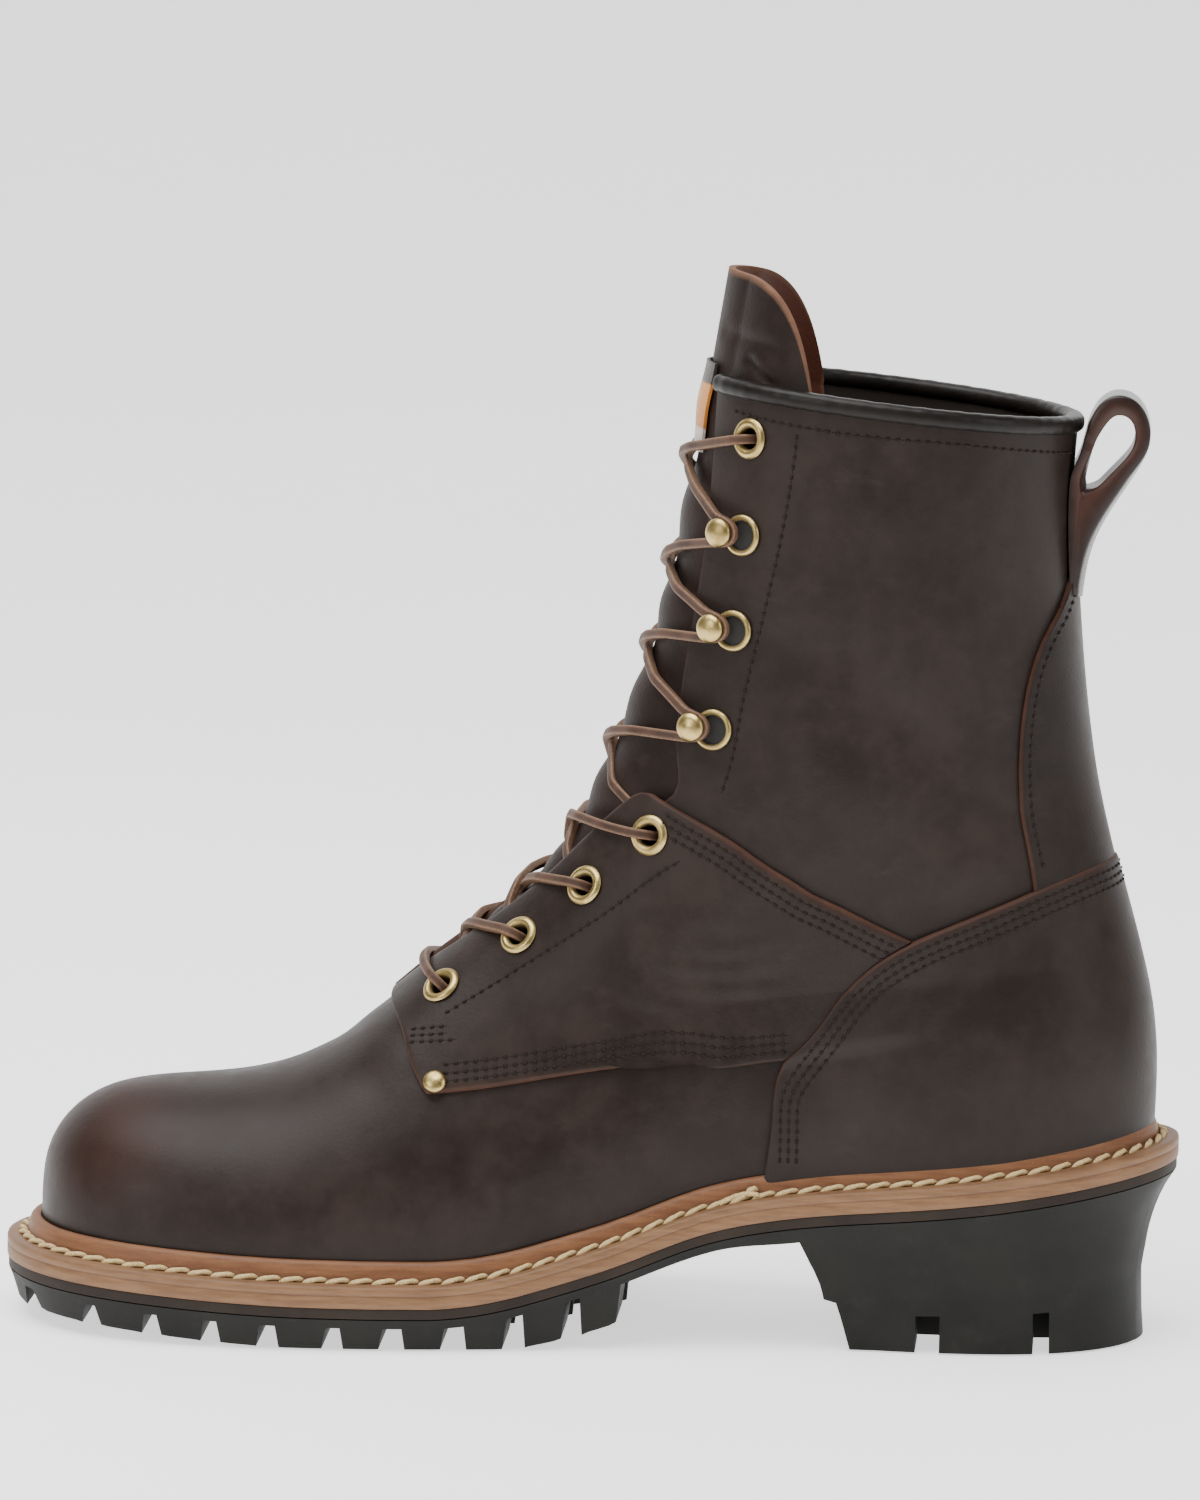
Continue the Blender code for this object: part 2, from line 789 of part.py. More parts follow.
def build_welt(finish):
    # A stitched strip: base under the upper's edge, a bead against the leather and a flat ledge outside
    inside = -(LEATHER + CLEARANCE)
    outside = BEAD_WIDTH + CLEARANCE
    u = side_columns(0.0)

    def flat(side, offset, height):
        plan = feather(u, side, offset)
        return np.concatenate([plan, seat_z(plan[:, 0:1]) + height], 1)

    def against(side, height, offset):
        points = shifted(u, row_at_height(u, side, height), side, offset)
        points[:, 2] = seat_z(points[:, 0]) + height
        return points

    def sections(side):
        return np.stack([
            flat(side, inside, 0.0),
            flat(side, inside, WELT_BASE),
            flat(side, CLEARANCE, WELT_BASE),
            against(side, BEAD_HEIGHT - BEAD_ROUND, CLEARANCE),
            against(side, BEAD_HEIGHT, CLEARANCE + BEAD_ROUND),
            flat(side, outside, BEAD_HEIGHT - 2.0 * BEAD_ROUND),
            flat(side, outside, WELT_EDGE),
            flat(side, WELT_OUT, WELT_EDGE),
            flat(side, WELT_OUT, 0.0),
        ], 1)

    rings = np.concatenate([sections(-1.0), sections(1.0)[::-1][1:-1]])
    return closed_loop("welt", rings, finish)


def closed_loop(name, rings, finish):
    # A ring of sections, joined all the way round
    count, size = rings.shape[:2]
    faces = []
    for r in range(count):
        for k in range(size):
            a = r * size + k
            b = r * size + (k + 1) % size
            c = ((r + 1) % count) * size + (k + 1) % size
            d = ((r + 1) % count) * size + k
            faces.append([a, b, c, d])
    return make_object(name, rings.reshape(-1, 3), faces, finish)


def plate(name, offset, low, high, finish):
    # A layer of the sole from one side to the other, between two heights above the seat
    u = side_columns(0.0)
    near = feather(u, -1.0, offset)
    far = feather(u, 1.0, offset)

    def level(height):
        grid = np.stack([near, far], 1)
        return np.concatenate([grid, seat_z(grid[..., 0:1]) + height], -1)

    return sheet(name, level(high), level(low), finish)


# Lugs of the forefoot: start and end as shares of the last's length from its toe
LUGS = [
    (-0.0310, -0.009),
    (0.0000, 0.053),
    (0.0650, 0.112),
    (0.1240, 0.167),
    (0.1790, 0.218),
    (0.2320, 0.277),
    (0.2900, 0.328),
    (0.3450, 0.383),
    (0.4000, 0.438),
    (0.4520, 0.490),
    (0.5020, 0.538),
]
HEEL_BREAST = 0.695
HEEL_LUGS = [
    (HEEL_BREAST, 0.799),
    (0.821, 0.909),
    (0.925, 1.031),
]
# Stations that only carry the outline between the lugs
PLAIN_STATIONS = [-0.0225, 0.025, 0.57, 0.60, 0.63, 0.66, 0.74, 0.86, 0.96, 0.985, 1.005, 1.021]
# Bands across the sole: side lug, groove, middle lug, groove, side lug
BANDS = [-1.0, -0.50, -0.38, 0.38, 0.50, 1.0]
LUG_BANDS = (0, 2, 4)

# The heel's faces going down: share of its height, share of the breast's rake, share of the taper
HEEL_FACES = [
    (0.86, 0.14, 0.59),
    (0.73, 0.28, 0.76),
    (0.60, 0.40, 0.86),
    (0.45, 0.48, 0.965),
    (0.42, 0.72, 0.97),
    (0.16, 0.90, 0.93),
    (0.00, 1.00, 0.87),
]
HEEL_TOP_TAPER = 0.30
HEEL_SIDE_TAPER = 0.60


def outline_places(shares):
    # Places round the side whose outer sole line reaches the given shares of the length
    u = np.linspace(0.0, 1.0, 801)
    line = feather(u, -1.0, WELT_OUT)[:, 0]
    wanted = TOE_X + np.asarray(shares) * LAST_LENGTH
    places = np.interp(wanted, line, u)
    places[0] = 0.0
    places[-1] = 1.0
    return places


def sole_edges(places):
    # Feather points and outward normals on both sides, and how far each normal looks to the back
    edges = {}
    for side in (-1.0, 1.0):
        edges[side] = (surface(places, 0.0, side)[:, :2], plan_normal(places, side))
    return edges


def edge_point(edges, i, side, inset, taper):
    # A point of the sole's edge; the heel tapers more at its back than at its sides
    points, normals = edges[side]
    back = max(float(normals[i][0]), 0.0)
    amount = taper * (HEEL_SIDE_TAPER + (1.0 - HEEL_SIDE_TAPER) * back * back)
    return points[i] + normals[i] * (WELT_OUT - EDGE_STEP - inset - amount)


def lug_bottom(s):
    tip = TIP_LIFT * np.maximum(spring_share(np.clip(s, 0.0, 1.0)) - 0.08, 0.0)
    waist = WAIST_LIFT * np.clip((s - 0.435) / 0.103, 0.0, 1.0) ** 1.5
    return float(tip + waist)


def build_outsole(finish):
    # Forefoot plate with lugs, waist and heel in one moulding, made cell by cell and level by level
    marks = [edge for lug in LUGS + HEEL_LUGS for edge in lug] + PLAIN_STATIONS
    marks = sorted(marks)
    places = outline_places(marks)
    edges = sole_edges(places)
    heel_levels = 1 + len(HEEL_FACES)

    def in_lug(i, table):
        return any(start - 1e-6 <= marks[i] and marks[i + 1] <= end + 1e-6 for start, end in table)

    def bottom_level(i, j):
        if i < 0 or j < 0 or i >= len(marks) - 1 or j >= len(BANDS) - 1:
            return 0
        if marks[i] >= HEEL_BREAST - 1e-6:
            whole = j in LUG_BANDS or i >= len(marks) - 3
            return heel_levels if in_lug(i, HEEL_LUGS) and whole else heel_levels - 1
        if in_lug(i, LUGS) and (j in LUG_BANDS or i < 2):
            return 2
        return 1

    def place(i, j, level, heel):
        s = marks[i]
        to_heel = float(smooth((s - 0.62) / 0.07))
        inset = 0.0
        taper = 0.0
        if level >= 1:
            inset = PLATE_LEAN * (1.0 - to_heel)
            taper = HEEL_TAPER * HEEL_TOP_TAPER * to_heel
        if level == 2 and not heel:
            inset = LUG_LEAN
        if heel and level >= 2:
            share, rake, width = HEEL_FACES[level - 2]
            taper = HEEL_TAPER * width
            inset = 0.0
        near = edge_point(edges, i, -1.0, inset, taper)
        far = edge_point(edges, i, 1.0, inset, taper)
        if i in (0, len(marks) - 1):
            near = far = (near + far) / 2.0
        across_share = (BANDS[j] + 1.0) / 2.0
        x, y = near + (far - near) * across_share
        top = float(seat_z(x)) - CLEARANCE - MIDSOLE - CLEARANCE
        z = top
        if level >= 1:
            z = top - PLATE
        if level == 2 and not heel:
            z = lug_bottom(s)
        if heel and level >= 2:
            fade = 1.0 - float(smooth((s - HEEL_BREAST) / (0.80 - HEEL_BREAST)))
            z = (top - PLATE) * share
            x += BREAST_RAKE * rake * fade
        return (x, y, z)

    vertices = []
    known = {}

    def vertex(i, j, level, heel):
        key = (i, j, level, heel and level >= 2)
        if key not in known:
            known[key] = len(vertices)
            vertices.append(place(i, j, level, heel))
        return known[key]

    faces = []
    for i in range(len(marks) - 1):
        heel = marks[i] >= HEEL_BREAST - 1e-6
        for j in range(len(BANDS) - 1):
            deep = bottom_level(i, j)
            corner = [(i, j), (i + 1, j), (i + 1, j + 1), (i, j + 1)]
            faces.append([vertex(a, b, 0, heel) for a, b in corner])
            faces.append([vertex(a, b, deep, heel) for a, b in reversed(corner)])
            beyond = [(i, j - 1), (i + 1, j), (i, j + 1), (i - 1, j)]
            for n in range(4):
                start = corner[n]
                end = corner[(n + 1) % 4]
                closed_end = start[0] == end[0] and start[0] in (0, len(marks) - 1)
                for level in range(bottom_level(*beyond[n]), deep):
                    if closed_end:
                        continue
                    faces.append([
                        vertex(*end, level, heel),
                        vertex(*start, level, heel),
                        vertex(*start, level + 1, heel),
                        vertex(*end, level + 1, heel),
                    ])
    return make_object("outsole", vertices, faces, finish, smooth_angle=30.0)


def hardware_seat(u, v, side, stack):
    centre = shifted(u, v, side, stack)
    axis = across(u, v, side)
    forward = surface(u - 0.02, v, side) - surface(u, v, side)
    return centre, axis, forward


def build_eyelet(name, u, v, side, stack, finish):
    centre, axis, forward = hardware_seat(u, v, side, 0.0)
    under = stack + HARDWARE_CLEARANCE
    rings = [
        (EYELET_HOLE, -LEATHER + CLEARANCE / 2.0, 0.0),
        (EYELET_TUBE, -LEATHER + CLEARANCE / 2.0, 0.0),
        (EYELET_TUBE, under, 0.0),
        (EYELET_FLANGE, under, 0.0),
        (EYELET_FLANGE - EYELET_THICK, under + EYELET_THICK, 0.0),
        (EYELET_HOLE, under + EYELET_THICK * 0.7, 0.0),
    ]
    return turned(name, rings, centre, axis, 10, finish, forward, closed=True)


def eyelet_cutter(name, u, v, side):
    centre, axis, forward = hardware_seat(u, v, side, 0.0)
    radius = EYELET_TUBE + CLEARANCE
    cutter = turned(name, [(radius, -0.006, 0.0), (radius, 0.008, 0.0)], centre, axis, 10, None, forward)
    return hide_cutter(cutter)


def build_hook(name, u, v, side, finish):
    centre, axis, forward = hardware_seat(u, v, side, HARDWARE_CLEARANCE)
    base = EYELET_THICK
    under = base + HOOK_THROAT
    rings = [
        (HOOK_FLANGE, 0.0, 0.0),
        (HOOK_FLANGE - base * 0.5, base, 0.0),
        (HOOK_NECK, base, HOOK_SHIFT * 0.2),
        (HOOK_NECK, under, HOOK_SHIFT * 0.6),
        (HOOK_HEAD, under, HOOK_SHIFT),
        (HOOK_HEAD, under + HOOK_CAP * 0.6, HOOK_SHIFT),
        (HOOK_HEAD * 0.6, under + HOOK_CAP, HOOK_SHIFT),
    ]
    return turned(name, rings, centre, axis, 10, finish, forward)


def build_rivet(name, side, finish):
    centre, axis, forward = hardware_seat(*RIVET, side, QUARTER_STACK + HARDWARE_CLEARANCE)
    rings = [
        (RIVET_RADIUS, 0.0, 0.0),
        (RIVET_RADIUS * 0.92, RIVET_DOME * 0.6, 0.0),
        (RIVET_RADIUS * 0.5, RIVET_DOME, 0.0),
    ]
    return turned(name, rings, centre, axis, 10, finish, forward)


def build_quarter(name, side, finish):
    rows = slice(SECTION_ROWS.index(0.30), SECTION_ROWS.index(0.745) + 1)
    leather = skin(name, rows, slice(0, 18), CLEARANCE, CLEARANCE + QUARTER_LEATHER, finish, side)
    outline = QUARTER_FACING + QUARTER_TOP + QUARTER_BACK + QUARTER_LOW + QUARTER_FRONT
    near = side * CLEARANCE * 4.0
    far = side * BALL_WIDTH
    cut(leather, prism(name + "_outline", side_view(outline, side), near, far), "INTERSECT")
    return leather


def bead_line(start, end):
    # Side view of the line just above the welt's bead, from one place to another
    u = np.linspace(start, end, 11)
    x = surface(u, row_at_height(u, -1.0, BEAD_HEIGHT), -1.0)[:, 0]
    z = seat_z(x) + BEAD_HEIGHT + 2.0 * CLEARANCE
    return list(zip(x.tolist(), z.tolist()))


def build_counter(finish):
    rows = slice(0, SECTION_ROWS.index(0.655) + 1)
    leather = skin("counter", rows, slice(12, 33), CLEARANCE, CLEARANCE + COUNTER_LEATHER, finish)
    beyond = TOE_X + LAST_LENGTH + WELT_OUT
    outline = side_view(COUNTER_FRONT + COUNTER_TOP)
    top_z = outline[-1][1]
    low = bead_line(0.60, 1.0)
    outline.append((beyond, top_z))
    outline.append((beyond, low[-1][1]))
    outline += reversed(low)
    cut(leather, prism("counter_outline", outline, -BALL_WIDTH, BALL_WIDTH), "INTERSECT")
    return leather


def build_backstay(finish):
    rows = slice(SECTION_ROWS.index(0.44), SECTION_ROWS.index(0.89) + 1)
    leather = skin("backstay", rows, slice(15, 30), CLEARANCE, CLEARANCE + BACKSTAY_LEATHER, finish)
    outline = side_view(BACKSTAY_EDGE)
    beyond = TOE_X + LAST_LENGTH
    counter = side_view(COUNTER_TOP)
    lift = 2.0 * CLEARANCE
    outline.append((counter[1][0] + 0.003, counter[1][1] + lift + 0.0008))
    outline += [(x, z + lift) for x, z in counter[2:]]
    outline.append((beyond, outline[-1][1]))
    outline.append((beyond, outline[0][1]))
    cut(leather, prism("backstay_outline", outline, -BALL_WIDTH, BALL_WIDTH), "INTERSECT")
    return leather


def build_collar(finish):
    # A padded roll on the collar's edge, open at the throat
    u = side_columns(1.0)[FACING_COLUMNS:]
    places = [(k, -1.0) for k in u] + [(k, 1.0) for k in u[::-1][1:]]
    half = COLLAR_ROLL / 2.0
    section = [
        (-1.0, -0.45), (-0.45, -1.0), (0.45, -1.0), (1.0, -0.45),
        (1.0, 0.35), (0.40, 1.0), (-0.40, 1.0), (-1.0, 0.35),
    ]
    rings = []
    for k, side in places:
        p = surface(k, 1.0, side)
        out = across(k, 1.0, side)
        out[2] = 0.0
        out /= np.linalg.norm(out)
        middle = p - out * COLLAR_SHIFT
        middle[2] += CLEARANCE + half
        rings.append([middle + out * COLLAR_INSIDE * a + np.array([0.0, 0.0, half * b]) for a, b in section])
    rings = np.array(rings)
    size = len(section)
    count = len(rings)
    faces = [list(range(size)), [(count - 1) * size + k for k in reversed(range(size))]]
    for r in range(count - 1):
        for k in range(size):
            a = r * size + k
            b = r * size + (k + 1) % size
            faces.append([a, b, b + size, a + size])
    return make_object("collar_binding", rings.reshape(-1, 3), faces, finish, smooth_angle=60.0)


def build_pull_loop(finish):
    # A strap doubled on the back line, open through from side to side
    collar_z = float(back_z(1.0))

    def point(dx, dz):
        z = collar_z + dz * LOOP_SIZE
        line = float(back_x(row_where(back_z, np.array(min(z, collar_z)))))
        return (line + dx * LOOP_SIZE, z)

    outer = [point(row[0], row[1]) for row in LOOP]
    hole = [point(row[2], row[3]) for row in LOOP]
    count = len(LOOP)
    half = LOOP_WIDTH / 2.0
    vertices = []
    for y in (-half, half):
        vertices += [(x, y, z) for x, z in outer]
        vertices += [(x, y, z) for x, z in hole]
    faces = []
    for i in range(count):
        j = (i + 1) % count
        faces.append([i, j, count + j, count + i])
        faces.append([2 * count + j, 2 * count + i, 3 * count + i, 3 * count + j])
        faces.append([j, i, 2 * count + i, 2 * count + j])
        faces.append([count + i, count + j, 3 * count + j, 3 * count + i])
    return make_object("pull_loop", vertices, faces, finish)


def build_label(finish):
    # A plain woven tab on the tongue, above the laces
    levels = [LABEL_LOW + (LABEL_HIGH - LABEL_LOW) * k / 3.0 for k in range(4)]
    half = np.linspace(0.0, LABEL_HALF, 4)

    def level(depth):
        grid = []
        for v in levels:
            offset = tongue_offset(half, v) + CLEARANCE + depth
            row_v = np.full(half.shape, v)
            out = np.minimum(row_v, 1.0)
            near = surface(half, row_v, -1.0) + across(half, out, -1.0) * offset[:, None]
            far = surface(half, row_v, 1.0) + across(half, out, 1.0) * offset[:, None]
            grid.append(np.concatenate([near[::-1], far[1:]]))
        return np.array(grid)

    return sheet("tongue_label", level(LABEL_THICK), level(0.0), finish)


# Lace crossings over the tongue: row of the crossing, then each strand's upper end and lower end.
# An end is its kind and number: eyelet, hook top, hook foot, or under the facing at a row.
CROSSINGS = [
    (0.570, ("eyelet", 1), ("under", 0.545)),
    (0.615, ("eyelet", 2), ("under", 0.592)),
    (0.672, ("eyelet", 3), ("under", 0.645)),
    (0.730, ("hook_foot", 0), ("under", 0.703)),
    (0.797, ("hook_foot", 1), ("hook_top", 0)),
    (0.855, ("hook_foot", 2), ("hook_top", 1)),
    (0.938, ("eyelet", 4), ("hook_top", 2)),
]
BAR_ROW = 0.537
EYELET_DROP = 0.012
BRIM_SHARE = 0.9
LACE_LIFT = LACE + CLEARANCE
HOOK_STOP = 0.055
HOOK_SPREAD = 0.013
HOOK_DRIFT = 1.3
HOOK_ROOM = 0.012
UNDER_SHARE = 0.45


def lace_over(u, v):
    # Height of a lace's middle above the leather's own face where it lies on the boot
    if v < 0.70 and u > 0.01:
        return QUARTER_STACK + LACE_LIFT + CLEARANCE
    return LACE_LIFT


def lace_end(end, side):
    # The points of one end of a strand, from its far end to the facing edge
    kind, value = end
    if kind == "under":
        edge = float(facing_edge(value))
        u = edge * UNDER_SHARE
        offset = float(tongue_offset(np.array(u), np.array(value))) + LACE_LIFT + CLEARANCE
        return [shifted(u, value, side, offset)]
    if kind == "eyelet":
        u, v = EYELETS[value]
        lift = lace_over(u, v)
        centre = shifted(u, v, side, lift)
        edge = float(facing_edge(v - EYELET_DROP)) * BRIM_SHARE
        way = [shifted(u + (edge - u) * t, v - EYELET_DROP * t, side, lift) for t in (0.3, 0.65, 1.0)]
        away = (way[0] - centre) / np.linalg.norm(way[0] - centre)
        return [centre + away * (EYELET_FLANGE + 2.0 * CLEARANCE)] + way[1:]
    u, v = HOOKS[value]
    turn = HOOK_SPREAD if kind == "hook_top" else -HOOK_SPREAD
    start = shifted(u - HOOK_STOP, v + turn, side, LACE_LIFT)
    row = v + turn * HOOK_DRIFT
    edge = float(facing_edge(row))
    if edge < u - HOOK_STOP - HOOK_ROOM:
        return [start, shifted(edge, row, side, LACE_LIFT)]
    half = edge / 2.0
    offset = float(tongue_offset(np.array(half), np.array(row))) + LACE_LIFT + 2.0 * CLEARANCE
    return [start, shifted(half, row, side, offset)]


def build_crossing(name, row, upper, lower, finish):
    # Two strands that cross on the tongue, joined where they meet
    lift = float(tongue_offset(np.array(0.0), np.array(row))) + LACE_LIFT + 2.0 * CLEARANCE
    middle = shifted(0.0, row, -1.0, lift)
    middle[1] = 0.0
    strands = []
    for side in (-1.0, 1.0):
        path = lace_end(upper, side) + [middle] + lace_end(lower, -side)[::-1]
        strands.append(tube(name if side < 0 else name + "_other", path, LACE, 6, finish))
    hide_cutter(strands[1])
    cut(strands[0], strands[1], "UNION")
    return strands[0]


def build_bar(name, finish):
    middle = shifted(0.0, BAR_ROW, -1.0, QUARTER_STACK + LACE_LIFT + CLEARANCE)
    middle[1] = 0.0
    near = lace_end(("eyelet", 0), -1.0)
    far = lace_end(("eyelet", 0), 1.0)
    return tube(name, near + [middle] + far[::-1], LACE, 6, finish)


def clear_scene():
    for thing in list(bpy.data.objects):
        bpy.data.objects.remove(thing, do_unlink=True)


def main():
    clear_scene()
    brown = material("brown_leather", (0.055, 0.030, 0.022), 0.5)
    quarter_brown = material("quarter_leather", (0.060, 0.033, 0.024), 0.5)
    counter_brown = material("counter_leather", (0.050, 0.028, 0.021), 0.5)
    stay_brown = material("backstay_leather", (0.065, 0.030, 0.022), 0.5)
    tongue_brown = material("tongue_leather", (0.075, 0.035, 0.025), 0.6)
    loop_brown = material("loop_leather", (0.045, 0.020, 0.015), 0.35)
    collar_black = material("collar_leather", (0.025, 0.018, 0.016), 0.45)
    insole_tan = material("insole_leather", (0.300, 0.180, 0.090), 0.7)
    welt_tan = material("welt_leather", (0.420, 0.210, 0.085), 0.55)
    midsole_brown = material("midsole_rubber", (0.070, 0.050, 0.040), 0.7)
    rubber = material("outsole_rubber", (0.032, 0.031, 0.028), 0.75)
    brass = material("eyelet_brass", (0.560, 0.470, 0.220), 0.35, 1.0)
    lace_brown = material("lace_leather", (0.160, 0.070, 0.040), 0.6)
    label_orange = material("label_cloth", (0.600, 0.230, 0.030), 0.8)

    upper = build_upper(brown)
    build_tongue(tongue_brown)
    plate("insole", -(LEATHER + 2.0 * CLEARANCE), 0.0, INSOLE, insole_tan)
    build_welt(welt_tan)
    plate("midsole", WELT_OUT - EDGE_STEP, -CLEARANCE - MIDSOLE, -CLEARANCE, midsole_brown)
    build_outsole(rubber)

    quarters = {word: build_quarter("quarter_" + word, side, quarter_brown) for word, side in SIDES.items()}
    build_counter(counter_brown)
    build_backstay(stay_brown)
    build_collar(collar_black)
    build_pull_loop(loop_brown)
    build_label(label_orange)

    for word, side in SIDES.items():
        for k, (u, v) in enumerate(EYELETS):
            on_quarter = k < QUARTER_EYELETS
            stack = QUARTER_STACK if on_quarter else 0.0
            name = f"eyelet_{word}_{k + 1}"
            build_eyelet(name, u, v, side, stack, brass)
            cutter = eyelet_cutter(name + "_hole", u, v, side)
            cut(upper, cutter, "DIFFERENCE")
            if on_quarter:
                cut(quarters[word], cutter, "DIFFERENCE")
        for k, (u, v) in enumerate(HOOKS):
            build_hook(f"hook_{word}_{k + 1}", u, v, side, brass)
        build_rivet(f"rivet_{word}", side, brass)

    build_bar("lace_bar", lace_brown)
    for k, (row, upper_end, lower_end) in enumerate(CROSSINGS):
        build_crossing(f"lace_crossing_{k + 1}", row, upper_end, lower_end, lace_brown)


main()
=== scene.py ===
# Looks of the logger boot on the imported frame: oiled leather, tan welt, lug rubber, brass, laces
import math

import bpy
import numpy as np
from mathutils import Matrix, Vector


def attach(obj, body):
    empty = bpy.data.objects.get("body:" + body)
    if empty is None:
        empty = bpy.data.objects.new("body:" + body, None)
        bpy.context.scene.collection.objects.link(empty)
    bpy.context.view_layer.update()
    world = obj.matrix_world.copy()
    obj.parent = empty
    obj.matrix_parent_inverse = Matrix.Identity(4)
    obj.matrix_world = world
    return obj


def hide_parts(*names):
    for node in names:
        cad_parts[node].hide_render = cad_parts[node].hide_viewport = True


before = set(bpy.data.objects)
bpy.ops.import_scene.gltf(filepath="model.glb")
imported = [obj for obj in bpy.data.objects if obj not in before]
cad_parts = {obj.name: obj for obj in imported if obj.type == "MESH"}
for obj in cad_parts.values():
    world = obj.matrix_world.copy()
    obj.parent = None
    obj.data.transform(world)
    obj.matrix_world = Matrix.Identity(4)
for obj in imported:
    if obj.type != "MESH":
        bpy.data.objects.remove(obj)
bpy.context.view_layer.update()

print("frame loaded")


# The last, as the frame was made on it. Shares are of its length, half the ball width, the rises and the lift
last = {
    "length": 0.291, "ballWidth": 0.096, "instepRise": 0.0668, "shaftRise": 0.1649,
    "heelLift": 0.0340, "toeSpring": 0.0032, "backRise": 0.1897, "shaftWidth": 0.082,
    "ankleLow": 0.070, "ankleHigh": 0.150, "bulge": 0.0022, "bulgeHeight": 0.055,
    "lugDepth": 0.0043, "plate": 0.0038, "midsole": 0.0023, "weltBase": 0.0025, "gap": 0.0003,
    # powers of the section's sides and of the rows' spread, and the slope of the line over the instep
    "frontPower": 2.5, "fadePower": 1.6, "footPower": 2.5, "footFall": 0.75, "legPower": 2.15,
    "overSlope": 0.5,
    # where the heel's curve and the foot's squarer sides come in, and the rows that lead on past 1
    "heelFrom": 0.45, "heelReach": 0.45, "toeFrom": 0.12, "toeReach": 0.40, "lastRows": 0.02,
    # share of length, half width, middle line
    "outline": [
        (0.000, 0.000, -0.170), (0.030, 0.485, -0.165), (0.080, 0.730, -0.145), (0.150, 0.885, -0.100),
        (0.220, 0.965, -0.045), (0.300, 1.000, 0.010), (0.380, 0.985, 0.055), (0.460, 0.925, 0.085),
        (0.550, 0.820, 0.095), (0.630, 0.735, 0.075), (0.720, 0.685, 0.045), (0.800, 0.672, 0.015),
        (0.880, 0.640, 0.000), (0.940, 0.525, 0.000), (0.980, 0.325, 0.000), (1.000, 0.000, 0.000),
    ],
    # share of length, toe spring, heel lift
    "seat": [
        (0.00, 1.00, 0.000), (0.08, 0.72, 0.000), (0.16, 0.36, 0.000), (0.24, 0.08, 0.000),
        (0.31, 0.00, 0.000), (0.38, 0.00, 0.005), (0.43, 0.00, 0.065), (0.48, 0.00, 0.180),
        (0.535, 0.00, 0.330), (0.605, 0.00, 0.560), (0.66, 0.00, 0.670), (0.71, 0.00, 0.730),
        (0.79, 0.00, 0.795), (0.875, 0.00, 0.880), (0.965, 0.00, 0.995), (1.00, 0.00, 1.040),
    ],
    "footFront": [
        (0.0000, 0.000), (0.0003, 0.145), (0.0028, 0.332), (0.0210, 0.509),
        (0.0708, 0.642), (0.1567, 0.684), (0.2392, 0.769), (0.3151, 1.000),
    ],
    "shaftFront": [
        (0.3870, 0.112), (0.4600, 0.238), (0.5040, 0.392), (0.5390, 0.557),
        (0.5620, 0.722), (0.5775, 0.868), (0.5895, 1.000),
    ],
    "back": [
        (1.0000, 0.000), (1.0010, 0.050), (1.0015, 0.107), (1.0000, 0.162), (0.9952, 0.215),
        (0.9869, 0.268), (0.9773, 0.321), (0.9670, 0.377), (0.9557, 0.440), (0.9436, 0.519),
        (0.9343, 0.609), (0.9264, 0.720), (0.9213, 0.827), (0.9203, 0.922), (0.9230, 1.000),
    ],
    # share of the collar's height, share of half the shaft width
    "leg": [(0.20, 0.902), (0.40, 0.907), (0.52, 0.890), (0.64, 0.890), (0.80, 0.939), (1.00, 1.000)],
}
last["seatLow"] = last["lugDepth"] + last["plate"] + last["gap"] + last["midsole"] + last["gap"]
straightUp = np.array([0.0, 0.0, 1.0])
innerSide = -1.0
outerSide = 1.0
bothSides = (innerSide, outerSide)
sideWords = (("medial", innerSide), ("lateral", outerSide))


def smooth(t):
    t = np.clip(t, 0.0, 1.0)
    return t * t * (3.0 - 2.0 * t)


def curveThrough(xs, ys):
    # A natural cubic through points, straight past its ends
    xs = np.asarray(xs, float)
    ys = np.asarray(ys, float)
    count = len(xs)
    step = np.diff(xs)
    slope = np.diff(ys) / step
    matrix = np.eye(count)
    right = np.zeros(count)
    for i in range(1, count - 1):
        matrix[i, i - 1] = step[i - 1]
        matrix[i, i] = 2.0 * (step[i - 1] + step[i])
        matrix[i, i + 1] = step[i]
        right[i] = 6.0 * (slope[i] - slope[i - 1])
    bend = np.linalg.solve(matrix, right)
    first = slope[0] - step[0] * bend[1] / 6.0
    final = slope[-1] + step[-1] * bend[-2] / 6.0

    def at(x):
        x = np.asarray(x, float)
        i = np.clip(np.searchsorted(xs, x) - 1, 0, count - 2)
        past = x - xs[i]
        left = xs[i + 1] - x
        h = step[i]
        cubic = (bend[i] * left ** 3 + bend[i + 1] * past ** 3) / (6.0 * h)
        lines = (ys[i] / h - bend[i] * h / 6.0) * left + (ys[i + 1] / h - bend[i + 1] * h / 6.0) * past
        below = ys[0] + (x - xs[0]) * first
        above = ys[-1] + (x - xs[-1]) * final
        return np.where(x < xs[0], below, np.where(x > xs[-1], above, cubic + lines))

    return at


def column(table, i):
    return [row[i] for row in table]


def unit(vectors):
    return vectors / np.linalg.norm(vectors, axis=-1, keepdims=True)


def runAlong(points):
    # How far along its line each point lies
    return np.concatenate([[0.0], np.cumsum(np.linalg.norm(np.diff(points, axis=0), axis=1))])


def readAt(wanted, run, table):
    # A table's rows at places along its line
    return np.stack([np.interp(wanted, run, table[:, i]) for i in range(table.shape[1])], -1)


def around(count):
    return np.linspace(0.0, 2.0 * np.pi, count, endpoint=False)


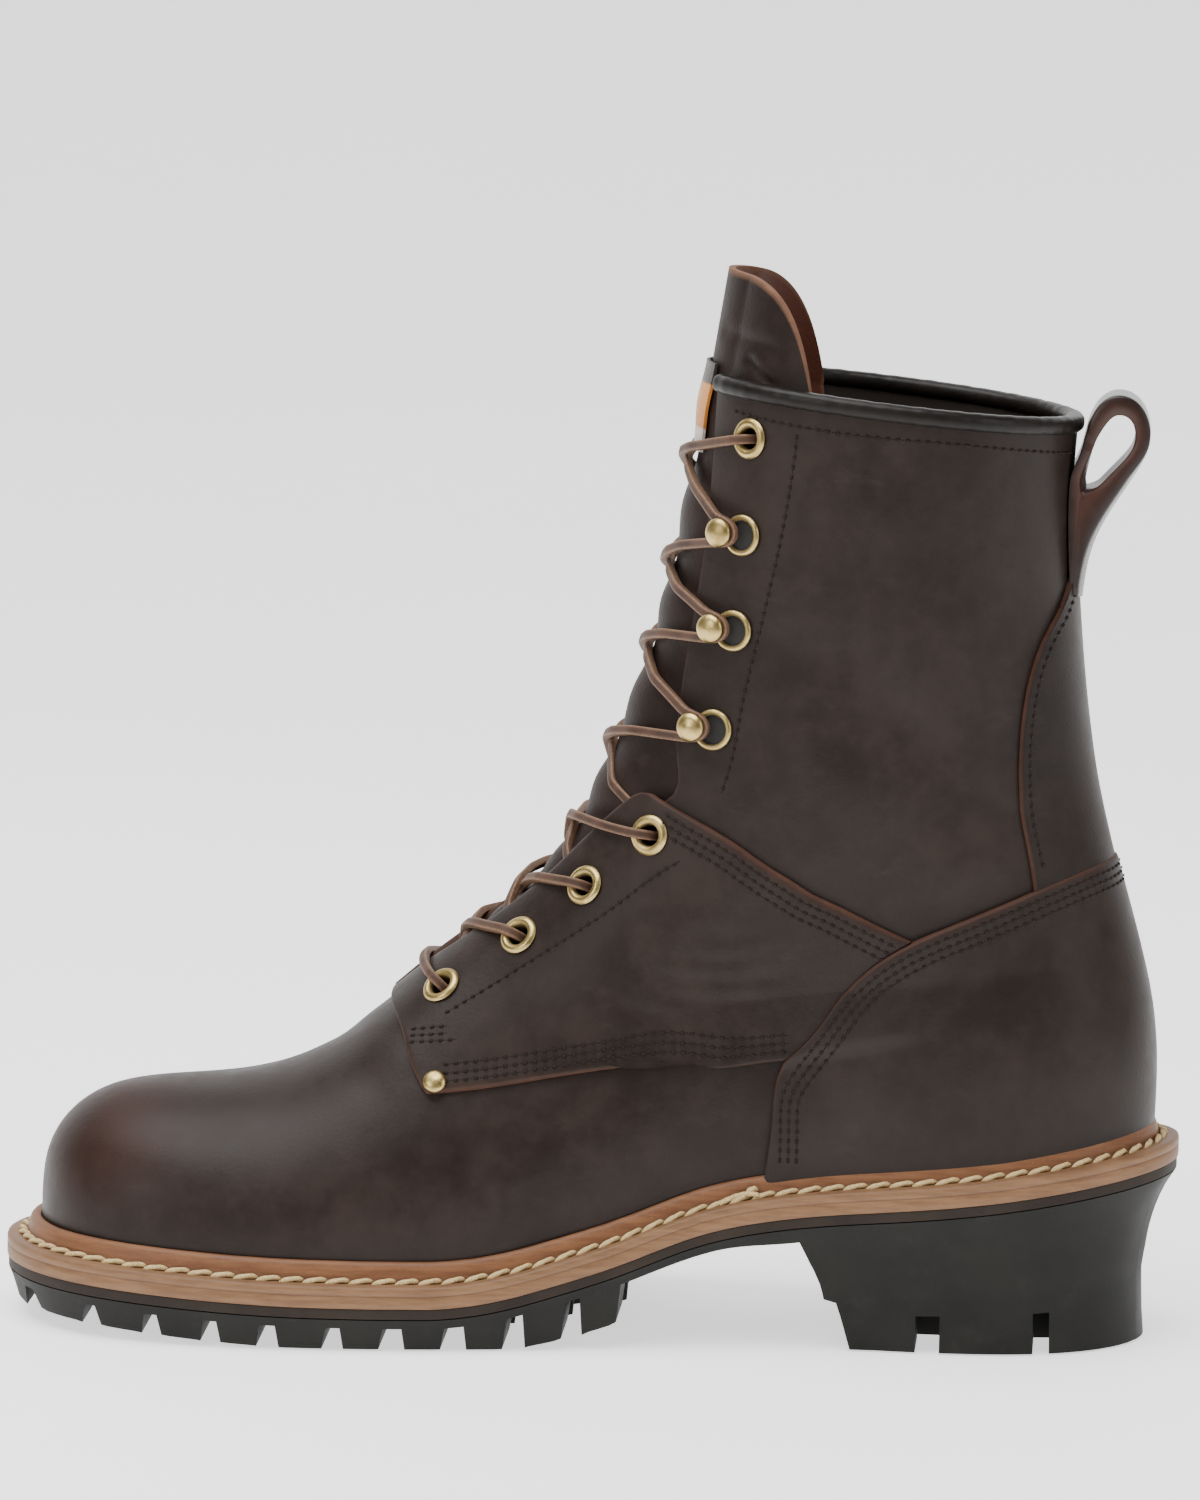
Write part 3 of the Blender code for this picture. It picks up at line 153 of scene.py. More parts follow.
toeX = -last["length"] / 2.0
halfBall = last["ballWidth"] / 2.0
widthSquared = curveThrough(column(last["outline"], 0), np.square(column(last["outline"], 1)))
middleShare = curveThrough(column(last["outline"], 0), column(last["outline"], 2))
springShare = curveThrough(column(last["seat"], 0), column(last["seat"], 1))
liftShare = curveThrough(column(last["seat"], 0), column(last["seat"], 2))


def shareAt(x):
    return (np.asarray(x, float) - toeX) / last["length"]


def seatZ(x):
    s = np.clip(shareAt(x), -0.04, 1.04)
    spring = last["toeSpring"] * np.maximum(springShare(s), 0.0)
    return last["seatLow"] + spring + last["heelLift"] * np.maximum(liftShare(s), 0.0)


def featherZ(x):
    return seatZ(x) + last["weltBase"] + last["gap"]


toeZ = float(featherZ(toeX))
heelZ = float(featherZ(toeX + last["length"]))
frontLine = [(toeX + s * last["length"], toeZ + r * last["instepRise"]) for s, r in last["footFront"]]
instepZ = toeZ + last["instepRise"]
frontLine += [(toeX + s * last["length"], instepZ + r * last["shaftRise"]) for s, r in last["shaftFront"]]
backLine = [(toeX + s * last["length"], heelZ + r * last["backRise"]) for s, r in last["back"]]
lineRows = np.linspace(0.0, 1.0, len(frontLine))
frontX = curveThrough(lineRows, column(frontLine, 0))
frontZ = curveThrough(lineRows, column(frontLine, 1))
backX = curveThrough(lineRows, column(backLine, 0))
backZ = curveThrough(lineRows, column(backLine, 1))
collarZ = frontLine[-1][1]
legHalf = curveThrough(np.multiply(column(last["leg"], 0), collarZ),
                       np.multiply(column(last["leg"], 1), last["shaftWidth"] / 2.0))


def planHalf(s):
    return halfBall * np.sqrt(np.maximum(widthSquared(np.clip(s, 0.0, 1.0)), 0.0))


everyShare = np.linspace(0.0, 1.0, 201)
everyMiddle = halfBall * middleShare(everyShare)
everyHalf = planHalf(everyShare)
planCentre = float((np.max(everyMiddle + everyHalf) + np.min(everyMiddle - everyHalf)) / 2.0)


def planMiddle(s):
    return halfBall * middleShare(np.clip(s, 0.0, 1.0)) - planCentre


fineRows = np.linspace(0.0, 1.0, 8001)
lineTables = {line: np.maximum.accumulate(line(fineRows)) for line in (frontX, frontZ, backZ)}


def rowWhere(line, value):
    return np.interp(value, lineTables[line], fineRows)


def sidePoint(a, v):
    alongFront = v ** last["frontPower"]
    alongBack = (backZ(v) - backZ(0.0)) / (backZ(1.0) - backZ(0.0))
    turn = smooth(a)
    up = alongFront + (alongBack - alongFront) * turn
    lowX = frontX(0.0) + (backX(0.0) - frontX(0.0)) * a
    lowZ = featherZ(lowX)
    topX = frontX(1.0) + (backX(1.0) - frontX(1.0)) * a
    topZ = frontZ(1.0) + (backZ(1.0) - frontZ(1.0)) * a
    fade = (1.0 - a) ** (1.0 + last["fadePower"] * (1.0 - v))
    rise = turn * a
    frontDx = frontX(v) - (1.0 - alongFront) * frontX(0.0) - alongFront * frontX(1.0)
    frontDz = frontZ(v) - (1.0 - alongFront) * frontZ(0.0) - alongFront * frontZ(1.0)
    backDx = backX(v) - (1.0 - alongBack) * backX(0.0) - alongBack * backX(1.0)
    backDz = backZ(v) - (1.0 - alongBack) * backZ(0.0) - alongBack * backZ(1.0)
    x = (1.0 - up) * lowX + up * topX + fade * frontDx + rise * backDx
    z = (1.0 - up) * lowZ + up * topZ + fade * frontDz + rise * backDz
    return x, z


def ankleShare(z):
    return smooth((z - last["ankleLow"]) / (last["ankleHigh"] - last["ankleLow"]))


def halfWidth(x, z):
    s = shareAt(x)
    base = featherZ(x)
    beyond = frontZ(1.0) + (x - frontX(1.0)) * last["overSlope"]
    top = np.where(x < frontX(1.0), frontZ(rowWhere(frontX, x)), beyond)
    h = np.clip((z - base) / (top - base), 0.0, 1.0)
    heelRow = rowWhere(backZ, z)
    shift = (backX(0.0) - backX(heelRow)) * smooth((s - last["heelFrom"]) / last["heelReach"])
    power = last["footPower"] - last["footFall"] * smooth((s - last["toeFrom"]) / last["toeReach"])
    foot = planHalf(shareAt(x + shift)) * np.sqrt(1.0 - h ** power)
    near = frontX(rowWhere(frontZ, z))
    far = backX(heelRow)
    c = np.clip((x - near) / (far - near), 0.0, 1.0)
    leg = legHalf(z) * np.sqrt(np.maximum(1.0 - np.abs(2.0 * c - 1.0) ** last["legPower"], 0.0))
    mix = ankleShare(z)
    return foot * (1.0 - mix) + leg * mix


def surface(u, v, side):
    # Outer face of the upper: u from the front line (0) to the back line (1), side -1 inner or +1 outer
    u, v, side = np.broadcast_arrays(np.asarray(u, float), np.asarray(v, float), np.asarray(side, float))
    over = np.maximum(v - 1.0, 0.0)
    row = np.minimum(v, 1.0)
    a = (1.0 - np.cos(np.pi * u)) / 2.0
    x, z = sidePoint(a, row)
    w = np.where((u <= 0.0) | (u >= 1.0), 0.0, halfWidth(x, z))
    middle = planMiddle(shareAt(x)) * (1.0 - ankleShare(z))
    lift = np.clip((z - featherZ(x)) / last["bulgeHeight"], 0.0, 1.0)
    bulge = last["bulge"] * np.sin(np.pi * lift) * np.sqrt(np.maximum(np.sin(np.pi * u), 0.0))
    back, up = [(line(1.0) - line(1.0 - last["lastRows"])) / last["lastRows"] for line in (frontX, frontZ)]
    return np.stack([x + over * back, middle + side * (w + bulge), z + over * up], -1)


def across(u, v, side, step=0.0008):
    u, v, side = np.broadcast_arrays(np.asarray(u, float), np.asarray(v, float), np.asarray(side, float))
    along = surface(np.minimum(u + step, 1.0), v, side) - surface(np.maximum(u - step, 0.0), v, side)
    upward = surface(u, v + step, side) - surface(u, np.maximum(v - step, 0.0), side)
    return unit(np.cross(along, upward) * -side[..., None])


# Creases placed in the side view, in millimetres: sides, points, depth (minus is a trough), width
creases = [
    ((-1, 1), [(70, 176), (79, 166), (90, 153)], -0.9, 7.0),
    ((-1, 1), [(52, 164), (62, 152), (76, 141)], 0.7, 8.0),
    ((-1,), [(96, 205), (106, 194), (112, 180)], -0.7, 8.0),
    ((1,), [(88, 212), (100, 200), (108, 184)], -0.8, 8.0),
    ((-1, 1), [(40, 186), (58, 181), (76, 183)], -0.45, 7.0),
    ((-1,), [(60, 224), (80, 219), (98, 221)], 0.45, 9.0),
    ((-1, 1), [(96, 150), (108, 141), (118, 139)], -0.55, 5.0),
    ((-1, 1), [(86, 132), (99, 127), (110, 129)], 0.45, 6.0),
    ((-1, 1), [(12, 98), (24, 96), (38, 96), (52, 98)], -0.34, 2.0),
    ((-1, 1), [(16, 92.5), (30, 90.5), (46, 91.5)], -0.30, 1.9),
    ((-1, 1), [(20, 102.5), (34, 101), (47, 103)], -0.30, 2.0),
    ((-1, 1), [(6, 90), (14, 87), (24, 86.5)], -0.26, 1.9),
    ((-1, 1), [(24, 108), (36, 107), (46, 109)], -0.24, 1.9),
    ((-1, 1), [(-14, 44), (-9, 33), (-8, 24)], -0.5, 7.0),
    ((-1, 1), [(8, 60), (12, 46), (12, 34)], 0.45, 9.0),
    ((-1,), [(-62, 60), (-52, 52), (-44, 40)], -0.35, 8.0),
    ((1,), [(-70, 58), (-58, 54), (-48, 44)], -0.45, 7.0),
    ((-1, 1), [(-72, 74), (-62, 70), (-52, 62)], -0.40, 4.5),
    ((-1, 1), [(-64, 80), (-54, 76), (-45, 68)], 0.35, 4.5),
    ((-1,), [(88, 74), (98, 66), (112, 62)], -0.5, 10.0),
    ((1,), [(80, 70), (96, 62), (114, 66)], -0.5, 10.0),
]


def shareAlong(x, z, start, end):
    # Where points lie along a line in the side view and how far from it they are, squared
    (x0, z0), (x1, z1) = start, end
    t = ((x - x0) * (x1 - x0) + (z - z0) * (z1 - z0)) / ((x1 - x0) ** 2 + (z1 - z0) ** 2)
    t = np.clip(t, 0.0, 1.0)
    return t, (x - x0 - t * (x1 - x0)) ** 2 + (z - z0 - t * (z1 - z0)) ** 2


def reliefAt(points, side):
    # How far the leather is pressed in or raised at points of its face
    x = points[..., 0] * 1000.0
    z = points[..., 2] * 1000.0
    # An uneven wave all over, then the creases
    total = 0.10 * np.sin(x / 9.0 + 1.3 * np.sin(z / 13.0)) * np.sin(z / 11.0 + 0.8 * np.sin(x / 17.0))
    for sides, line, depth, width in creases:
        here = np.isin(side, sides)
        nearest = np.full(x.shape, 1e9)
        place = np.zeros(x.shape)
        count = len(line) - 1
        for k in range(count):
            t, away = shareAlong(x, z, line[k], line[k + 1])
            closer = away < nearest
            nearest = np.where(closer, away, nearest)
            place = np.where(closer, (k + t) / count, place)
        taper = np.sqrt(np.maximum(np.sin(np.pi * np.clip(place, 0.02, 0.98)), 0.0))
        total += np.where(here, depth * taper * np.exp(-nearest / (width * width)), 0.0)
    return total / 1000.0


def leatherPoint(u, v, side, height):
    # A point a height above the upper's creased face
    p = surface(u, v, side)
    side = np.broadcast_to(np.asarray(side, float), p.shape[:-1])
    return p + across(u, v, side) * (height + reliefAt(p, side))[..., None]


def planNormal(u, side):
    step = 0.0005
    along = surface(np.minimum(u + step, 1.0), 0.0, side) - surface(np.maximum(u - step, 0.0), 0.0, side)
    return unit(np.stack([along[..., 1], -along[..., 0]], -1) * -side)


def feather(u, side, offset):
    return surface(u, 0.0, side)[..., :2] + planNormal(u, side) * offset


# Meshes
def addToScene(name, data):
    added = bpy.data.objects.new(name, data)
    bpy.context.scene.collection.objects.link(added)
    return added


def meshPiece(name, points, faces, finish, replaced=(), marks=None, angle=40.0):
    # A visible piece: its points and faces, finish, the frame nodes it stands for, and its masks
    used = np.zeros(len(points), bool)
    for face in faces:
        used[np.asarray(face)] = True
    number = np.cumsum(used) - 1
    mesh = bpy.data.meshes.new(name)
    mesh.from_pydata(np.asarray(points)[used].tolist(), [], [number[np.asarray(f)].tolist() for f in faces])
    for mark, values in (marks or {}).items():
        layer = mesh.attributes.new(mark, "FLOAT", "POINT")
        layer.data.foreach_set("value", np.asarray(values, np.float32).ravel()[used])
    mesh.shade_smooth()
    mesh.set_sharp_from_angle(angle=math.radians(angle))
    mesh.materials.append(finish)
    piece = addToScene(name, mesh)
    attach(piece, "root")
    if replaced:
        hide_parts(*replaced)
    return piece


def gridFaces(rows, columns, wrap=False, used=None):
    r = np.arange(rows - 1)[:, None]
    c = np.arange(columns if wrap else columns - 1)[None, :]
    a = r * columns + c
    b = r * columns + (c + 1) % columns
    quads = np.stack([a, b, b + columns, a + columns], -1)
    if used is not None:
        quads = quads[used]
    return quads.reshape(-1, 4)


def volumeOf(points, quads):
    p = points[quads]
    return float(np.sum(np.einsum("ij,ij->i", p[:, 0], np.cross(p[:, 1], p[:, 2])))
                 + np.sum(np.einsum("ij,ij->i", p[:, 0], np.cross(p[:, 2], p[:, 3]))))


def closedSheet(outer, inner, wrap=False, used=None):
    # Two skins of one grid joined along every open edge, as points and faces that look out
    rows, columns = outer.shape[:2]
    count = rows * columns
    quads = gridFaces(rows, columns, wrap, used)
    edges = np.concatenate([quads[:, [0, 1]], quads[:, [1, 2]], quads[:, [2, 3]], quads[:, [3, 0]]])
    keys = edges[:, 0] * count + edges[:, 1]
    backwards = edges[:, 1] * count + edges[:, 0]
    rim = edges[~np.isin(keys, backwards)]
    walls = np.stack([rim[:, 1], rim[:, 0], count + rim[:, 0], count + rim[:, 1]], -1)
    faces = np.concatenate([quads, quads[:, ::-1] + count, walls])
    points = np.concatenate([outer.reshape(-1, 3), inner.reshape(-1, 3)])
    if volumeOf(points, faces) < 0.0:
        faces = faces[:, ::-1]
    return points, faces


def ringLoft(rings, closed=True):
    # Sections joined one after the other; closed sections, and a closed way round or two capped ends
    count, size = rings.shape[:2]
    r = np.arange(count if closed else count - 1)[:, None]
    k = np.arange(size)[None, :]
    a = r * size + k
    b = r * size + (k + 1) % size
    c = ((r + 1) % count) * size + (k + 1) % size
    d = ((r + 1) % count) * size + k
    faces = np.stack([a, b, c, d], -1).reshape(-1, 4)
    points = rings.reshape(-1, 3)
    if volumeOf(points, faces) < 0.0:
        faces = faces[:, ::-1]
    faces = faces.tolist()
    if not closed:
        ends = [list(range(size)), [(count - 1) * size + k for k in reversed(range(size))]]
        if not isinstance(faces[0][0], int) or faces[0][0] > faces[0][1]:
            ends = [end[::-1] for end in ends]
        faces += ends
    return points, faces


def alongLine(points, count):
    # Even places along a smooth line through points
    points = np.asarray(points, float)
    knots = runAlong(points)
    lines = [curveThrough(knots, points[:, i]) for i in range(points.shape[1])]
    t = np.linspace(0.0, knots[-1], count)
    return np.stack([line(t) for line in lines], -1)


# Materials
class Value:
    # Wraps a node's output so that shader maths reads as a Python expression
    def __init__(self, finish, socket):
        self.finish = finish
        self.socket = socket

    def maths(self, operation, other, swapped=False):
        first, second = (other, self) if swapped else (self, other)
        return self.finish.node("ShaderNodeMath", {"operation": operation}, {0: first, 1: second})

    def __add__(self, other):
        return self.maths("ADD", other)

    def __radd__(self, other):
        return self.maths("ADD", other, True)

    def __sub__(self, other):
        return self.maths("SUBTRACT", other)

    def __rsub__(self, other):
        return self.maths("SUBTRACT", other, True)

    def __mul__(self, other):
        return self.maths("MULTIPLY", other)

    def __rmul__(self, other):
        return self.maths("MULTIPLY", other, True)


class Finish:
    # One material: its tree, its shader and short ways to add nodes
    def __init__(self, name, roughness, metallic=0.0, coat=0.0, coatRoughness=0.3, sheen=0.0, specular=0.5):
        self.material = bpy.data.materials.new(name)
        self.material.use_nodes = True
        self.tree = self.material.node_tree
        self.shader = self.tree.nodes["Principled BSDF"]
        for socket, number in (("Roughness", roughness), ("Metallic", metallic), ("Coat Weight", coat),
                               ("Coat Roughness", coatRoughness), ("Sheen Weight", sheen),
                               ("Specular IOR Level", specular)):
            self.shader.inputs[socket].default_value = number
        self.where = self.node("ShaderNodeTexCoord", output="Object")

    def node(self, kind, settings=None, inputs=None, output=0):
        node = self.tree.nodes.new(kind)
        for key, value in (settings or {}).items():
            if key == "stops":
                ramp = node.color_ramp
                while len(ramp.elements) < len(value):
                    ramp.elements.new(1.0)
                for element, (place, colour) in zip(ramp.elements, value):
                    element.position = place
                    element.color = (*colour, 1.0)
            else:
                setattr(node, key, value)
        for key, value in (inputs or {}).items():
            if isinstance(value, Value):
                self.tree.links.new(value.socket, node.inputs[key])
            elif isinstance(value, tuple) and len(value) == 3 and node.inputs[key].type == "RGBA":
                node.inputs[key].default_value = (*value, 1.0)
            else:
                node.inputs[key].default_value = value
        return Value(self, node.outputs[output])

    def noise(self, scale, detail=3.0, roughness=0.55, where=None):
        return self.node("ShaderNodeTexNoise", None, {
            "Vector": where or self.where, "Scale": scale, "Detail": detail, "Roughness": roughness,
        })

    def cells(self, scale):
        inputs = {"Vector": self.where, "Scale": scale}
        return self.node("ShaderNodeTexVoronoi", {"feature": "SMOOTH_F1"}, inputs)

    def stretched(self, scale, turn=(0.0, 0.0, 0.0)):
        return self.node("ShaderNodeMapping", None, {"Vector": self.where, "Scale": scale, "Rotation": turn})

    def spread(self, value, low, high, outLow=0.0, outHigh=1.0):
        return self.node("ShaderNodeMapRange", {"interpolation_type": "SMOOTHSTEP"}, {
            0: value, 1: low, 2: high, 3: outLow, 4: outHigh,
        })

    def mark(self, name):
        return self.node("ShaderNodeAttribute", {"attribute_name": name}, None, "Fac")

    def part(self, axis):
        return self.node("ShaderNodeSeparateXYZ", None, {0: self.where}, axis)

    def blend(self, share, first, second):
        return self.node("ShaderNodeMix", {"data_type": "RGBA"}, {0: share, 6: first, 7: second}, 2)

    def feed(self, socket, value):
        self.tree.links.new(value.socket, self.shader.inputs[socket])

    def bump(self, height, strength, distance):
        inputs = {"Height": height, "Strength": strength, "Distance": distance}
        self.feed("Normal", self.node("ShaderNodeBump", None, inputs))


# Each leather: its deep, lit and rubbed red colours
leatherLooks = {
    "vampLeather": [(0.0155, 0.0094, 0.0074), (0.028, 0.0180, 0.0146), (0.040, 0.0155, 0.0100)],
    "quarterLeather": [(0.0152, 0.0092, 0.0072), (0.028, 0.0177, 0.0141), (0.050, 0.020, 0.013)],
    "counterLeather": [(0.0155, 0.0098, 0.0078), (0.026, 0.0172, 0.0140), (0.040, 0.018, 0.012)],
    "stayLeather": [(0.0120, 0.0072, 0.0056), (0.022, 0.0134, 0.0105), (0.055, 0.022, 0.014)],
    "tongueLeather": [(0.0120, 0.0066, 0.0050), (0.025, 0.0132, 0.0100), (0.060, 0.024, 0.015)],
    "loopLeather": [(0.0090, 0.0050, 0.0040), (0.022, 0.0115, 0.0085), (0.070, 0.026, 0.016)],
    "collarLeather": [(0.0070, 0.0052, 0.0043), (0.0135, 0.0100, 0.0082), (0.014, 0.010, 0.008)],
}
toeRub = {"front": (-0.088, -0.132), "height": (0.026, 0.050), "share": 0.75}
scuffColour = (0.060, 0.043, 0.036)
rawEdgeColour = (0.086, 0.038, 0.024)
liningColour = (0.032, 0.0250, 0.0210)


def oiledLeather(name, roughness=0.46, grain=0.16, coat=0.06, rawEdge=rawEdgeColour, lining=None):
    deep, lit, red = leatherLooks[name]
    f = Finish(name, roughness, coat=coat, coatRoughness=0.35, specular=0.17)
    clouds = f.noise(26.0, 4.0, 0.6)
    mottle = f.noise(140.0, 5.0, 0.65)
    pores = f.cells(1150.0)
    fine = f.noise(2400.0, 2.0)
    colour = f.blend(f.spread(clouds * 0.6 + mottle * 0.4, 0.36, 0.66), deep, lit)
    # Warm, rubbed toe
    toe = f.spread(f.part("X"), *toeRub["front"]) * f.spread(f.part("Z"), *toeRub["height"])
    toe *= f.spread(clouds, 0.30, 0.62, 0.35, 1.0)
    colour = f.blend(toe * toeRub["share"], colour, red)
    scuff = f.spread(f.noise(60.0, 6.0, 0.7, f.stretched((1.0, 1.0, 2.6), (0.0, 0.3, 0.0))), 0.58, 0.74)
    colour = f.blend(scuff * 0.16, colour, scuffColour)
    if lining is not None:
        colour = f.blend(f.mark("lining"), colour, lining)
    colour = f.blend(f.mark("rawEdge") * f.spread(mottle, 0.25, 0.7, 0.55, 1.0), colour, rawEdge)
    f.feed("Base Color", colour)
    f.feed("Roughness", f.spread(mottle * 0.5 + clouds * 0.5, 0.3, 0.7, roughness - 0.07, roughness + 0.08)
           + f.mark("rawEdge") * 0.3)
    f.bump(pores * 0.55 + fine * 0.25 + mottle * 0.9, grain, 0.00045)
    return f.material


def weltLeather():
    f = Finish("weltLeather", 0.55, coat=0.04, specular=0.35)
    streaks = f.noise(90.0, 4.0, 0.6, f.stretched((1.0, 1.0, 9.0)))
    specks = f.noise(900.0, 3.0)
    edge = f.blend(f.spread(streaks, 0.3, 0.7), (0.160, 0.077, 0.034), (0.232, 0.122, 0.058))
    bead = f.blend(f.spread(streaks, 0.3, 0.7), (0.150, 0.058, 0.022), (0.220, 0.094, 0.038))
    colour = f.blend(f.mark("bead"), edge, bead)
    # Painted shade: darker brown in the crease beside the seam, in the edge's groove and where the welt meets
    # the upper and the sole
    colour = f.blend(f.mark("seam") * 0.6, colour, (0.085, 0.036, 0.017))
    colour = f.blend(f.spread(specks, 0.55, 0.75) * 0.25, colour, (0.260, 0.130, 0.062))
    f.feed("Base Color", colour)
    f.feed("Roughness", f.spread(streaks, 0.3, 0.7, 0.48, 0.62))
    f.bump(streaks + specks * 0.4, 0.25, 0.0005)
    return f.material


def rubber(name, dark, pale, roughness):
    f = Finish(name, roughness, specular=0.16)
    clouds = f.noise(45.0, 4.0)
    specks = f.noise(1600.0, 3.0, 0.7)
    dust = f.spread(f.noise(120.0, 6.0, 0.7), 0.52, 0.78)
    colour = f.blend(f.spread(clouds, 0.3, 0.7), dark, pale)
    colour = f.blend(dust * 0.12, colour, (0.060, 0.058, 0.052))
    f.feed("Base Color", colour)
    f.feed("Roughness", f.spread(clouds, 0.3, 0.7, roughness - 0.08, roughness + 0.08))
    f.bump(specks * 0.6 + clouds * 0.4, 0.22, 0.0004)
    return f.material


def antiqueBrass():
    f = Finish("antiqueBrass", 0.30, 1.0)
    clouds = f.noise(240.0, 5.0, 0.65)
    scratches = f.noise(900.0, 3.0, 0.6, f.stretched((1.0, 6.0, 1.0), (0.4, 0.2, 0.0)))
    tarnish = f.spread(clouds, 0.42, 0.70)
    colour = f.blend(tarnish * 0.6, (0.560, 0.420, 0.165), (0.220, 0.150, 0.048))
    # Painted shade: near-black, not metal, inside the eyelets' holes and tubes, at the flanges' foot and
    # under the hooks' heads
    colour = f.blend(f.mark("hollow"), colour, (0.008, 0.006, 0.004))
    f.feed("Metallic", 1.0 - f.mark("hollow"))
    f.feed("Base Color", colour)
    rubbed = f.spread(clouds * 0.6 + scratches * 0.4, 0.3, 0.7, 0.24, 0.42)
    f.feed("Roughness", rubbed + f.mark("hollow") * 0.4)
    f.bump(scratches, 0.10, 0.0002)
    return f.material


def laceLeather():
    f = Finish("laceLeather", 0.58, specular=0.35)
    fibres = f.noise(1300.0, 4.0, 0.65)
    clouds = f.noise(160.0, 3.0)
    face = f.blend(f.spread(clouds, 0.3, 0.7), (0.040, 0.0175, 0.0095), (0.078, 0.036, 0.019))
    cutSide = f.blend(f.spread(fibres, 0.3, 0.7), (0.175, 0.092, 0.052), (0.310, 0.185, 0.112))
    f.feed("Base Color", f.blend(f.mark("cutSide"), face, cutSide))
    f.bump(fibres, 0.35, 0.0004)
    return f.material


def thread(name, dark, pale, roughness=0.6):
    f = Finish(name, roughness, specular=0.15)
    twist = f.noise(2200.0, 2.0, 0.5, f.stretched((1.0, 1.0, 2.0), (0.6, 0.0, 0.4)))
    f.feed("Base Color", f.blend(f.spread(twist, 0.35, 0.65), dark, pale))
    f.bump(twist, 0.4, 0.0002)
    return f.material


def wovenLabel():
    f = Finish("wovenLabel", 0.75, sheen=0.3, specular=0.2)
    threads = f.noise(2600.0, 2.0, 0.5, f.stretched((1.0, 1.0, 0.35)))
    band = f.mark("band")
    field = f.node("ShaderNodeValToRGB", {"stops": [
        (0.00, (0.70, 0.64, 0.55)), (0.24, (0.62, 0.56, 0.48)), (0.27, (0.58, 0.200, 0.018)),
        (0.74, (0.64, 0.235, 0.024)), (0.77, (0.012, 0.010, 0.010)), (1.00, (0.016, 0.013, 0.013)),
    ]}, {0: band})
    f.feed("Base Color", f.blend(f.spread(threads, 0.3, 0.7) * 0.35, field, (0.10, 0.06, 0.04)))
    f.bump(threads, 0.4, 0.0003)
    return f.material


def insoleLeather():
    f = Finish("insoleLeather", 0.70, specular=0.3)
    clouds = f.noise(60.0, 5.0, 0.6)
    pores = f.cells(900.0)
    f.feed("Base Color", f.blend(f.spread(clouds, 0.3, 0.7), (0.250, 0.140, 0.070), (0.360, 0.225, 0.125)))
    f.bump(pores, 0.25, 0.0004)
    return f.material


vampFinish = oiledLeather("vampLeather", lining=liningColour)
quarterFinish = oiledLeather("quarterLeather", 0.45, 0.20)
counterFinish = oiledLeather("counterLeather", 0.45, 0.14)
stayFinish = oiledLeather("stayLeather", 0.47, 0.18)
tongueFinish = oiledLeather("tongueLeather", 0.52, 0.24, 0.02, (0.210, 0.105, 0.062), (0.100, 0.032, 0.018))
loopFinish = oiledLeather("loopLeather", 0.28, 0.12, 0.35, (0.080, 0.030, 0.019))
collarFinish = oiledLeather("collarLeather", 0.40, 0.20, 0.10)
weltFinish = weltLeather()
midsoleFinish = rubber("midsoleRubber", (0.020, 0.014, 0.011), (0.036, 0.026, 0.020), 0.62)
soleFinish = rubber("lugRubber", (0.0085, 0.0082, 0.0070), (0.0160, 0.0155, 0.0135), 0.56)
brassFinish = antiqueBrass()
laceFinish = laceLeather()
darkThread = thread("darkThread", (0.0085, 0.0055, 0.0045), (0.024, 0.0150, 0.0115))
# Painted shade: near-black thread pieces stand for the shadowed stitch holes
holeShadeFinish = thread("stitchHoleShade", (0.004, 0.003, 0.003), (0.009, 0.006, 0.005), 0.8)
creamThread = thread("creamThread", (0.500, 0.350, 0.150), (0.740, 0.575, 0.310))
labelFinish = wovenLabel()
insoleFinish = insoleLeather()
print("materials made")


# The upper: one creased shell, open at the throat, the collar and underneath
upper = {
    "thickness": 0.0024, "throat": 0.505, "rowsBelow": 64, "rowsAbove": 66,
    "insideColumns": 6, "sideColumns": 138, "edgeStep": 0.0022, "edgeDrop": 0.00035, "crowding": 0.35,
    "softRows": 401, "softReach": 12, "softWidth": 3.6,
    # row, share round the side of the facing edge
    "facing": [
        (0.000, 0.060), (0.420, 0.060), (0.505, 0.020), (0.555, 0.052), (0.605, 0.092),
        (0.655, 0.132), (0.690, 0.200), (0.720, 0.285), (0.745, 0.240), (0.790, 0.200),
        (0.840, 0.184), (0.890, 0.174), (0.945, 0.152), (1.000, 0.125),
    ],
}
softRows = np.linspace(0.0, 1.0, upper["softRows"])


def bell(reach, width):
    # Weights of a soft average
    weights = np.exp(-0.5 * (np.arange(-reach, reach + 1) / width) ** 2)
    return weights / weights.sum()


softEdge = np.interp(softRows, column(upper["facing"], 0), column(upper["facing"], 1))
softEdge = np.convolve(np.pad(softEdge, upper["softReach"], mode="edge"),
                       bell(upper["softReach"], upper["softWidth"]), mode="valid")


def facingEdge(v):
    return np.interp(v, softRows, softEdge)


def sideColumns(v):
    edge = float(facingEdge(v))
    inside = edge * np.arange(upper["insideColumns"]) / upper["insideColumns"]
    c = np.linspace(0.0, 1.0, upper["sideColumns"])
    even = c + upper["crowding"] * np.sin(2.0 * np.pi * c) / (2.0 * np.pi)
    outside = edge + (1.0 - edge) * even
    return np.concatenate([inside, [edge, edge + upper["edgeStep"]], outside[1:]])


def shellGrid(rows, us, heights):
    # Skins over the whole shell, round the inner side and back along the outer side
    v = np.broadcast_to(rows[:, None], us.shape)
    halves = []
    for side in bothSides:
        p = surface(us, v, side)
        n = across(us, v, side)
        relief = reliefAt(p, np.full(us.shape, side))
        halves.append([p + n * (h + relief)[..., None] for h in heights])
    return [np.concatenate([near, far[:, ::-1][:, 1:-1]], 1) for near, far in zip(*halves)]


